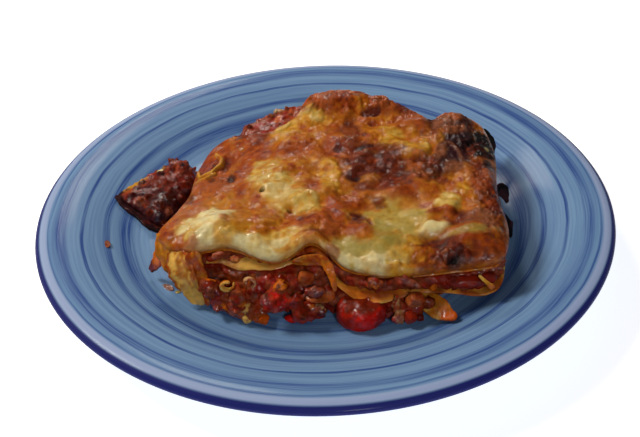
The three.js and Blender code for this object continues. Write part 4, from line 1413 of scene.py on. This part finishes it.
@dataclass
class Core:
    """Solid body of a soft layer or lump, finely uneven, over its model node."""

    name: str
    slot: str
    voxel: float
    bumps: tuple[Pair, ...]
    base: Tone
    stains: tuple[tuple[Tone, float, float], ...]
    seed: int
    patches: tuple[Patch, ...] = ()
    # The two axes that its patches are given in: 0 and 1 from above, 0 and 2 from the front
    seen: tuple[int, int] = (0, 1)
    crumbs: Crumbs | None = None
    chunks: tuple[Bit, ...] = ()
    # Density of its crumbs from 0 to 1, from points and outward directions
    is_open: Density | None = None
    coarse_voxel: float = 1.4
    chunk_unevenness: float = 0.35

    def fused(self, material: Material) -> tuple[Mesh, Shape, list[Tone]]:
        """Body with its lumps and chunks fused on.

        Args:
            material: its finish.

        Returns:
            The mesh, and the lumps and chunks alone with the tone of each of their points.
        """
        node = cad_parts[self.name].data.copy()
        if self.crumbs is None or self.is_open is None:
            return evened(node, self.voxel), Shape(np.zeros((0, 3)), []), []
        whole = shape_of(node)
        chunks = Shape(np.zeros((0, 3)), [])
        tones: list[Tone] = []
        for bit in self.chunks:
            chunk = bit.form(Noise(self.seed), self.chunk_unevenness, np.array(bit.place), 3)
            chunks = chunks.joined(chunk)
            tones += [bit.tone] * len(chunk.points)
        coarse = evened(mesh_of(whole.joined(chunks)), self.coarse_voxel)
        lumps, crumb_tones = self.crumbs.strewn(coarse, self.is_open(*mesh_points(coarse)), material)
        whole = shape_of(coarse).joined(lumps)
        return evened(mesh_of(whole), self.voxel), chunks.joined(lumps), tones + crumb_tones

    def build(self, material: Material) -> Object:
        """Makes the body.

        Args:
            material: its finish.

        Returns:
            The body's object.
        """
        noise = Noise(self.seed)
        mesh, lumps, tones = self.fused(material)
        before, normals = mesh_points(mesh)
        hills = [high * noise.layers(before + 7 * i, size, 2) for i, (size, high) in enumerate(self.bumps)]
        points = before + normals * np.sum(hills, axis=0)[:, None]
        mesh.vertices.foreach_set("co", (points * MM).ravel())
        mesh.update()
        canvas = Canvas(len(points), self.base)
        for i, (tone, size, amount) in enumerate(self.stains):
            share = smooth((noise.layers(points + 23 * (i + 1), size, 3) + 0.05) / 0.35)
            canvas.paint(tone, amount * share)
        ragged = noise.layers(points + 130, 3.0, 3)
        across, up = (points[:, axis] for axis in self.seen)
        for patch in self.patches:
            canvas.paint(patch.tone, patch.cover(across, up, ragged))
        if tones:
            near = KDTree(len(tones))
            for i, point in enumerate(lumps.points):
                near.insert(point, i)
            near.balance()
            found = [near.find(point) for point in before]
            kinds = np.array([list(Tone).index(tones[index]) for _, index, _ in found])
            share = smooth(1.6 - np.array([far for _, _, far in found]) / 0.9) * (0.75 + 0.4 * ragged)
            for kind in np.unique(kinds):
                canvas.paint(list(Tone)[kind], share * (kinds == kind))
        canvas.shade(1 + 0.3 * noise.layers(points + 60, 1.6, 2))
        return place_piece(self.name, mesh, canvas, material, [self.name])


@dataclass
class Bits:
    """Chopped pieces of one kind, each pressed into the body that it lies on."""

    name: str
    slot: str
    bits: tuple[Bit, ...]
    seed: int
    unevenness: float = 0.14
    sink: float = 0.25

    def build(self, material: Material, ground: BVHTree) -> Object:
        """Makes the pieces.

        Args:
            material: their finish.
            ground: the body that they lie on, in millimetres.

        Returns:
            All of them as one piece.
        """
        noise = Noise(self.seed)
        whole = Shape(np.zeros((0, 3)), [])
        canvas = Canvas(0, Tone.SAUCE)
        for bit in self.bits:
            spot, normal, _, _ = ground.find_nearest(Vector(bit.place))
            middle = np.array(spot) + np.array(normal) * (0.5 - self.sink) * min(bit.size)
            part = bit.form(noise, self.unevenness, middle)
            painted = Canvas(len(part.points), bit.tone)
            painted.paint(Tone.SAUCE, 0.6 * smooth((noise.layers(part.points, 2.5, 3) - 0.05) / 0.3))
            painted.shade(1 + 0.25 * noise.layers(part.points + 60, 1.2, 2))
            canvas.tint = np.concatenate([canvas.tint, painted.tint])
            canvas.bake = np.concatenate([canvas.bake, painted.bake])
            whole = whole.joined(part)
        return place_piece(self.name, whole, canvas, material)


def ground_of(pieces: Sequence[Object]) -> BVHTree:
    """Surface of several pieces, in millimetres, for finding the nearest spot on it."""
    whole = Shape(np.zeros((0, 3)), [])
    for piece in pieces:
        whole = whole.joined(shape_of(piece.data))
    return BVHTree.FromPolygons([tuple(p) for p in whole.points], [tuple(map(int, f)) for f in whole.faces])


def curl(
    centre: Triple, radius: float, start: float, end: float, lean: float = 0.5
) -> tuple[Triple, ...]:
    """Path of a curl seen from the front, as part of a circle.

    Args:
        centre: its middle.
        radius: its radius.
        start: direction that it starts in, in degrees.
        end: direction that it ends in.
        lean: how far its start stands before its end.

    Returns:
        Points along it.
    """
    x, y, z = centre
    path = []
    for share in (i / 7 for i in range(8)):
        a = math.radians(start + (end - start) * share)
        path.append((x + radius * math.cos(a), y - lean * (1 - share), z + radius * math.sin(a)))
    return tuple(path)


@dataclass
class Studio:
    """Camera, lights and floor."""

    lens: float = 46.575
    position: Triple = (0.0, -0.33236, 0.25543)
    right: Triple = (0.99933173, -0.01770694, -0.03197737)
    up: Triple = (0.03620642, 0.59962268, 0.7994634)
    forward: Triple = (-0.0050183, 0.80008693, -0.59986308)

    def camera(self) -> None:
        """Looks down on the plate from the front, as a diner does."""
        data = bpy.data.cameras.new("camera")
        data.lens = self.lens
        data.sensor_width = 36.0
        data.clip_start = 0.01
        camera = in_scene("camera", data)
        columns = (Vector(self.right), Vector(self.up), -Vector(self.forward))
        matrix = Matrix(columns).transposed().to_4x4()
        matrix.translation = Vector(self.position)
        camera.matrix_world = matrix
        bpy.context.scene.camera = camera

    def lamp(self, name: str, place: Triple, size: float, watts: float, colour: str) -> None:
        """Soft square lamp aimed at the food.

        Args:
            name: its name.
            place: where it hangs, in metres.
            size: length of its side in metres.
            watts: its power.
            colour: sRGB colour of its light.
        """
        data = bpy.data.lights.new(name, "AREA")
        data.energy = watts
        data.size = size
        data.color = to_linear(colour)[:3]
        lamp = in_scene(name, data)
        lamp.location = place
        aim = Vector((0.0, 0.0, 0.03)) - Vector(place)
        lamp.rotation_euler = aim.to_track_quat("-Z", "Y").to_euler()

    def floor(self) -> None:
        """Plain pale floor under the plate."""
        material, tree, output = new_material("pale_floor")
        paint = add_node(
            tree, "ShaderNodeBsdfPrincipled",
            {
                "Base Color": to_linear("#f6f6f6"), "Roughness": 0.7,
                "Emission Color": to_linear("#ffffff"), "Emission Strength": 0.7,
            },
        )
        tree.links.new(paint, output.inputs["Surface"])
        mesh = bpy.data.meshes.new("floor")
        half = 6.0
        corners = [(-half, -half, 0), (half, -half, 0), (half, half, 0), (-half, half, 0)]
        mesh.from_pydata(corners, [], [(0, 1, 2, 3)])
        mesh.materials.append(material)
        floor = in_scene("floor", mesh)

    def build(self) -> None:
        """Sets up the studio."""
        scene = bpy.context.scene
        world = bpy.data.worlds.new("studio")
        world.use_nodes = True
        sky = world.node_tree.nodes["Background"]
        sky.inputs["Color"].default_value = to_linear("#f4f6fa")
        sky.inputs["Strength"].default_value = 0.12
        scene.world = world
        scene.view_settings.view_transform = "Standard"
        self.camera()
        self.lamp("window", (-0.7, 0.2, 0.85), 0.28, 8.6, "#fff8ee")
        self.lamp("room", (0.15, -0.9, 0.62), 0.16, 2.7, "#fbfaff")
        self.lamp("glint", (-0.12, 0.6, 0.55), 0.13, 1.7, "#fff6ea")
        self.floor()


def main() -> None:
    """Builds every piece in order and reports it."""
    logging.basicConfig(level=logging.INFO, format="%(name)s %(message)s")
    finishes = (CRUST_FINISH, PASTA_FINISH, RAGU_FINISH, TOMATO_FINISH, MEAT_FINISH, CHAR_FINISH)
    crust_finish, pasta_finish, ragu_finish, tomato_finish, meat_finish, char_finish = (
        finish.build() for finish in finishes
    )

    plate = Plate().build()
    Crust().build(crust_finish)

    t = TERRAIN

    def top(x: Array, y: Array) -> Array:
        """Underside of the sheet under the crust."""
        return t.lip(x, y) - GAP - PASTA

    # Direction and reach out of each bulge of a sheet's edge, and its spread in degrees
    middle_bulges = ((250, -2, 11), (231, 3.5, 8), (279, 4.5, 13), (119, 23, 17), (205, -4, 9))
    bottom_bulges = (
        (246, 5.5, 18), (275, 4.5, 14), (320, -19, 17), (119, 20, 17), (196, -9, 16), (20, -5, 60),
    )
    # A sheet has its name, radius, underside, height and pitch of its waves, and seed
    Sheet("pasta_top", lambda a: t.crust_radius(a) - 1.3, top, 0.3, 7.0, 21, Tone.GOLD).build(pasta_finish)
    # The middle sheet's FLAME patches paint front light onto its orange edge
    Sheet(
        "pasta_middle", t.bulged(middle_bulges), t.middle_pasta, 0.55, 8.0, 22,
        # The MILK patch on the middle sheet's left part is a painted highlight
        patches=spots("""
            EGG -33 -66 14 7 -8 .75; MINCE -44 -62 7 5 -20 .6; MILK -28 -67 8 3 -8 .4
            OIL -8 -66 10 7 0 .8; FLAME 17 -74 17 8 0 .75; SAUCE 9 -76 4 2.4 0 .8; SAUCE 20 -72 9 2.6 0 .7
            EGG 24 -77 5 1.6 0 .6; SAUCE 41 -75 7 3 0 .7; FLAME 54 -72 12 6 0 .6
            SALMON -30 -69 12 3 -8 .5; SAUCE 33 -76 3.4 3 0 .7; RUST 47 -74 4 4 0 .85
            SAUCE 61 -72 4 3 0 .7; AMBER 72 -66 6 6 0 .6
        """),
    ).build(pasta_finish)
    Sheet("pasta_bottom", t.bulged(bottom_bulges), t.floor, 0.2, 8.0, 23, Tone.OIL).build(pasta_finish)

    def open_side(cover: Radius) -> Density:
        """Density that leaves out what lies under the sheet with that radius."""

        def density(points: Array, normals: Array) -> Array:
            """One on the open sides, zero elsewhere."""
            dx, dy = points[:, 0] - MIDDLE[0], points[:, 1] - MIDDLE[1]
            past = np.hypot(dx, dy) - cover(np.arctan2(dy, dx))
            side = (np.abs(normals[:, 2]) < 0.75) & (past > -9)
            return (side | ((normals[:, 2] > 0) & (past > 0.8))).astype(float)

        return density

    # Size and height of each noise in a body's surface, then the share of each tone of crumbs
    bumps = ((7.0, 0.7), (3.0, 0.6), (1.5, 0.55))
    mixed = (
        (Tone.MINCE, 0.42), (Tone.SAUCE, 0.3), (Tone.OIL, 0.05), (Tone.RUST, 0.17), (Tone.BLOOD, 0.06),
    )
    # A body has its name, slot, voxel size, bumps, tone, stains as tone, size and amount, and seed
    lower_body = Core(
        "ragu_lower", "ragu", 0.8, bumps, Tone.SAUCE,
        ((Tone.BLOOD, 6.0, 0.6), (Tone.OIL, 9.0, 0.5), (Tone.MINCE, 5.0, 0.4)), 31,
        spots("""
            BLOOD -52 22 7 6 0 .8; TOMATO -22 19.5 7 5 0 .85; OIL -30 11 8 4 0 .7; TOMATO -16 11 6 4 0 .7
            BLOOD 4 13 10 5 0 .6
        """),
        (0, 2), Crumbs(1.4, 3.8, 2.9, 41, mixed),
        bits("""
            TOMATO -21.9 -74 19 13 8 9 0 10 0; SAUCE -12.8 -75.4 19 4.5 5 13 0 3 0
            SAUCE -12.6 -76 11.8 6 5.5 6 0 0 0; SAUCE -30 -73.5 11.5 9 6 6 0 10 0
            BLOOD -48 -66 20 12 8 10 0 30 0; SAUCE -46 -67.5 13 11 7 8 0 0 0
            BLOOD -38 -70.5 13 11 7 9 0 0 0; SAUCE -37 -72 21 8 6 7 0 0 0
            BLOOD -6 -73.5 12.5 12 6 7 0 10 0; RUST -5 -73 22 8 5 7 0 20 0
            BLOOD 43.1 -76 16.8 6 5 5 0 0 0; SAUCE 36 -75 14 9 7 8 0 0 0
            ONION 28.8 -76.4 20 3 3.4 9 0 4 0; ONION 30.4 -78.6 11.8 3.4 4 8.5 0 -12 0
            ONION -2.7 -74 13.9 6 3.4 4 0 15 0; OIL -19 -70.5 24.6 7 5 4 0 15 0
            EGG -34.5 -72 14 6 5 5 0 15 0
        """),
        open_side(t.bulged(middle_bulges)),
    ).build(ragu_finish)
    upper_body = Core(
        "ragu_upper", "ragu", 0.8, bumps, Tone.SAUCE, ((Tone.MINCE, 5.0, 0.6), (Tone.BLOOD, 6.0, 0.6)),
        32,
        spots("""
            MINCE -42 35 12 5 0 .8; MINCE 24 28 14 4 0 .6; EGG -32 34.5 9 2.6 0 .6; OIL -6 33 9 4 0 .7
        """),
        (0, 2), Crumbs(1.4, 3.6, 2.8, 43, mixed),
        bits("""
            MINCE 20.1 -73.5 27 7 5 5 0 10 0; RUST 29 -73.5 27.4 7 5 5 0 -20 0
            MINCE 36 -74 26.5 5 4 4 0 0 0; MINCE -44 -62 35.5 7 4 4 0 0 0; MINCE -38 -64 34 6 4 3.4 0 0 0
        """),
        open_side(t.crust_radius),
    ).build(ragu_finish)
    corner_body = Core(
        "corner_meat", "baked_meat", 0.6, ((6.0, 0.6), (3.0, 0.5), (1.2, 0.3)), Tone.SAUCE,
        ((Tone.RUST, 4.0, 0.8),), 33,
        spots("""
            WINE -82 8 17 20 20 .6; PLUM -83 -2 15 15 20 .8; AMBER -97 18 10 4 52 .9
            BUTTER -97 21 8 3 52 .9; CHAR -104 6 5 5 0 1; CHAR -92 -6 14 3 -38 .9; AMBER -76 36 8 6 0 .7
            CREAM -85 32 2.6 1.6 20 .8
        """),
        crumbs=Crumbs(
            2.0, 4.6, 5.0, 45, ((Tone.RUST, 0.4), (Tone.WINE, 0.35), (Tone.PLUM, 0.15), (Tone.MINCE, 0.1))
        ),
        chunks=bits("""
            RUST -76 33 16 14 12 10 0 0 20; RUST -84 22 15 16 9 8 0 0 50; WINE -82 10 15 12 16 8 0 0 -20
            MILK -84.5 31.5 17 3.4 2.4 2 0 0 30
        """),
        is_open=lambda points, normals: (normals[:, 2] > 0.1).astype(float),
    ).build(meat_finish)
    corner_sheet = Core(
        "corner_pasta", "pasta", 0.6, ((3.0, 0.4), (1.5, 0.3)), Tone.PLUM,
        ((Tone.CHAR, 5.0, 0.7), (Tone.RUST, 4.0, 0.3)), 34,
        spots("BUTTER -96 25 11 5 52 1; AMBER -72 42 9 5 0 .8"),
    ).build(char_finish)
    tomato = Core(
        "tomato_front", "tomato", 0.6, ((6.0, 1.0), (3.0, 0.5), (1.4, 0.25)), Tone.TOMATO,
        ((Tone.SAUCE, 5.0, 0.6), (Tone.BLOOD, 4.0, 0.35)), 35,
        spots("BLOOD 24 13 4 6 0 .7; BLOOD 4 12 3.4 7 0 .6; RUST 14 21 18 4 0 .85"), (0, 2),
    ).build(tomato_finish)
    Core(
        "tomato_right", "tomato", 0.6, ((5.0, 0.4), (2.0, 0.3)), Tone.SAUCE, ((Tone.BLOOD, 4.0, 0.6),), 36
    ).build(tomato_finish)

    ragu = ground_of((lower_body, upper_body, tomato))
    Bits(
        "carrot_bits", "ragu",
        bits("""
            SALMON 36.4 -77 19.5 7 5 6 10 20 15 .6; SALMON -8.6 -68.5 30 7 5 5 0 20 0 .4
            EGG -33 -75 10.5 4.5 4 4 0 0 0 .3; CARROT -27.5 -75 11 4.5 4 3.6 0 30 0 .6
        """),
        51,
    ).build(pasta_finish, ragu)
    Bits(
        "tomato_bits", "tomato",
        bits("""
            SAUCE 34.7 -79.5 12.9 5.5 5 5 20 10 30 .4; BLOOD 39 -80.5 11.2 3.4 3 3 0 0 0 .3
            TOMATO -16 -75 9.5 6 4 3.4 0 10 0
        """),
        52,
    ).build(tomato_finish, ragu)
    Bits("onion_bits", "ragu", bits("MILK -22 66 30 7 3 4.5 0 15 10 .4"), 53).build(pasta_finish, ragu)
    Bits(
        "sauce_drops", "ragu",
        bits("""
            TAN -102.2 -26.7 16.4 3.4 5.6 .6 0 0 20; TAN -71.7 -50.1 8.2 7 3.4 .6 0 0 -35
            OLIVE -67 -53 7.5 2.4 2 .5 0 0 0
        """),
        54, sink=0.2,
    ).build(ragu_finish, ground_of((plate,)))

    # A strip has its name, path, width along it, thickness, the way that it faces, tone and stain
    strips = (
        Strip(
            "pasta_tongue", ((36, -66, 15.4), (43, -73, 14.8), (49.5, -79.5, 13.8), (53.5, -83.3, 14.6)),
            ((0, 8), (0.5, 10), (1, 3)), 2.4, (-0.3, -0.5, 1), Tone.GOLD, Tone.EGG, wave=0.2,
            tip=Tone.CARROT,
        ),
        Strip(
            "pasta_lower", ((-9, -69.6, 17.2), (-3, -70.6, 17.8), (3.5, -70.8, 18.2)),
            ((0, 5), (0.5, 8), (1, 5)), 1.5, (0, -0.3, 1), Tone.SALMON, Tone.AMBER,
        ),
        Strip(
            "pasta_left", ((-65, -51, 30.5), (-62.5, -58.5, 25), (-58.5, -62.5, 16.5), (-54, -64.5, 9.6)),
            ((0, 13), (0.35, 13.5), (0.7, 10), (1, 3)), 1.8, (-0.45, -1, 0.35), Tone.EGG, Tone.GOLD,
            wave=0.9, edging=Tone.AMBER, tip=Tone.EGG, ridged=0.6,
        ),
        Strip(
            "pasta_corner", ((-70.5, -43, 26.5), (-75.5, -44, 19), (-80, -43, 12)),
            ((0, 10), (0.5, 8.5), (1, 2.4)), 1.8, (-1, -0.7, 0.4), Tone.OIL, Tone.AMBER, tip=Tone.BLOOD,
            ridged=0.5,
        ),
        Strip(
            "cheese_drape",
            ((-70, -43.5, 33.5), (-71.5, -47.5, 28.5), (-69, -52, 23), (-66.5, -56, 17.5)),
            ((0, 10), (0.5, 7), (1, 3)), 2.6, (-0.6, -1, 0.4), Tone.GOLD, Tone.BUTTER, "cheese", False,
            0.9, ridged=0.6,
        ),
        Strip(
            "sauce_wall", ((-57, -56.5, 33.5), (-54.5, -61.5, 25), (-51.5, -64, 17), (-52, -65.5, 10)),
            ((0, 7), (0.5, 6), (1, 2.5)), 2.2, (-0.1, -1, 0.3), Tone.AMBER, Tone.GOLD, "cheese", False,
            0.8, ridged=0.5,
        ),
        Strip(
            "pasta_leg",
            ((-14, -63.5, 31.5), (-7, -64.8, 33.4), (-1, -67.2, 34.6), (2, -70, 30), (3.6, -73.2, 22.6)),
            ((0, 3), (0.3, 5.6), (0.6, 4), (1, 2.4)), 1.6, (0.1, -1, 0.3), Tone.GOLD, Tone.AMBER, "pasta",
            False, tip=Tone.OIL, ridged=0.4,
        ),
        Strip(
            "onion_curl", curl((-32, -72, 28.6), 2.2, -70, 200, 1.0), ((0, 1.0), (0.5, 1.2), (1, 0.8)),
            2.6, (0.15, -1, 0.35), Tone.ONION, Tone.SALMON, "ragu", False, 0.2,
        ),
        Strip(
            "golden_curl", curl((-41.5, -69.5, 25.5), 2.6, 60, 380, 1.5),
            ((0, 1.2), (0.5, 1.6), (1, 1.0)), 2.6, (-0.25, -1, 0.3), Tone.EGG, Tone.OIL, "ragu", False,
            0.3,
        ),
        Strip(
            "cheese_string", ((63.6, -71, 27), (66.4, -73.4, 25.2), (69.6, -74.6, 22.6)),
            ((0, 1.5), (0.5, 1.8), (1, 2.8)), 1.4, (0.3, -1, 0.4), Tone.EGG, Tone.BUTTER, "cheese",
            tip=Tone.OIL, ridged=0.4,
        ),
        Strip(
            "char_back", ((81, 36, 31.5), (86, 37.5, 29), (88.5, 32, 25), (86.5, 26, 21)),
            ((0, 3), (0.5, 6), (1, 2)), 1.1, (0.6, -0.7, 0.5), Tone.CHAR, Tone.PLUM, "char",
        ),
        Strip(
            "char_side", ((84.6, -2, 24), (88, -2.6, 20), (90, -4.6, 15)), ((0, 4), (0.5, 7), (1, 2)),
            1.1, (0.7, -0.8, 0.3), Tone.CHAR, Tone.PLUM, "char",
        ),
        Strip(
            "char_low", ((82.2, -24, 24), (85.6, -26.5, 17.6), (87.5, -27.5, 11.6)),
            ((0, 3), (0.5, 7), (1, 2)), 1.1, (0.7, -0.8, 0.3), Tone.CHAR, Tone.PLUM, "char",
        ),
    )
    for strip in strips:
        strip.build(char_finish if strip.slot == "char" else pasta_finish)

    Studio().build()


if __name__ == "__main__":
    main()
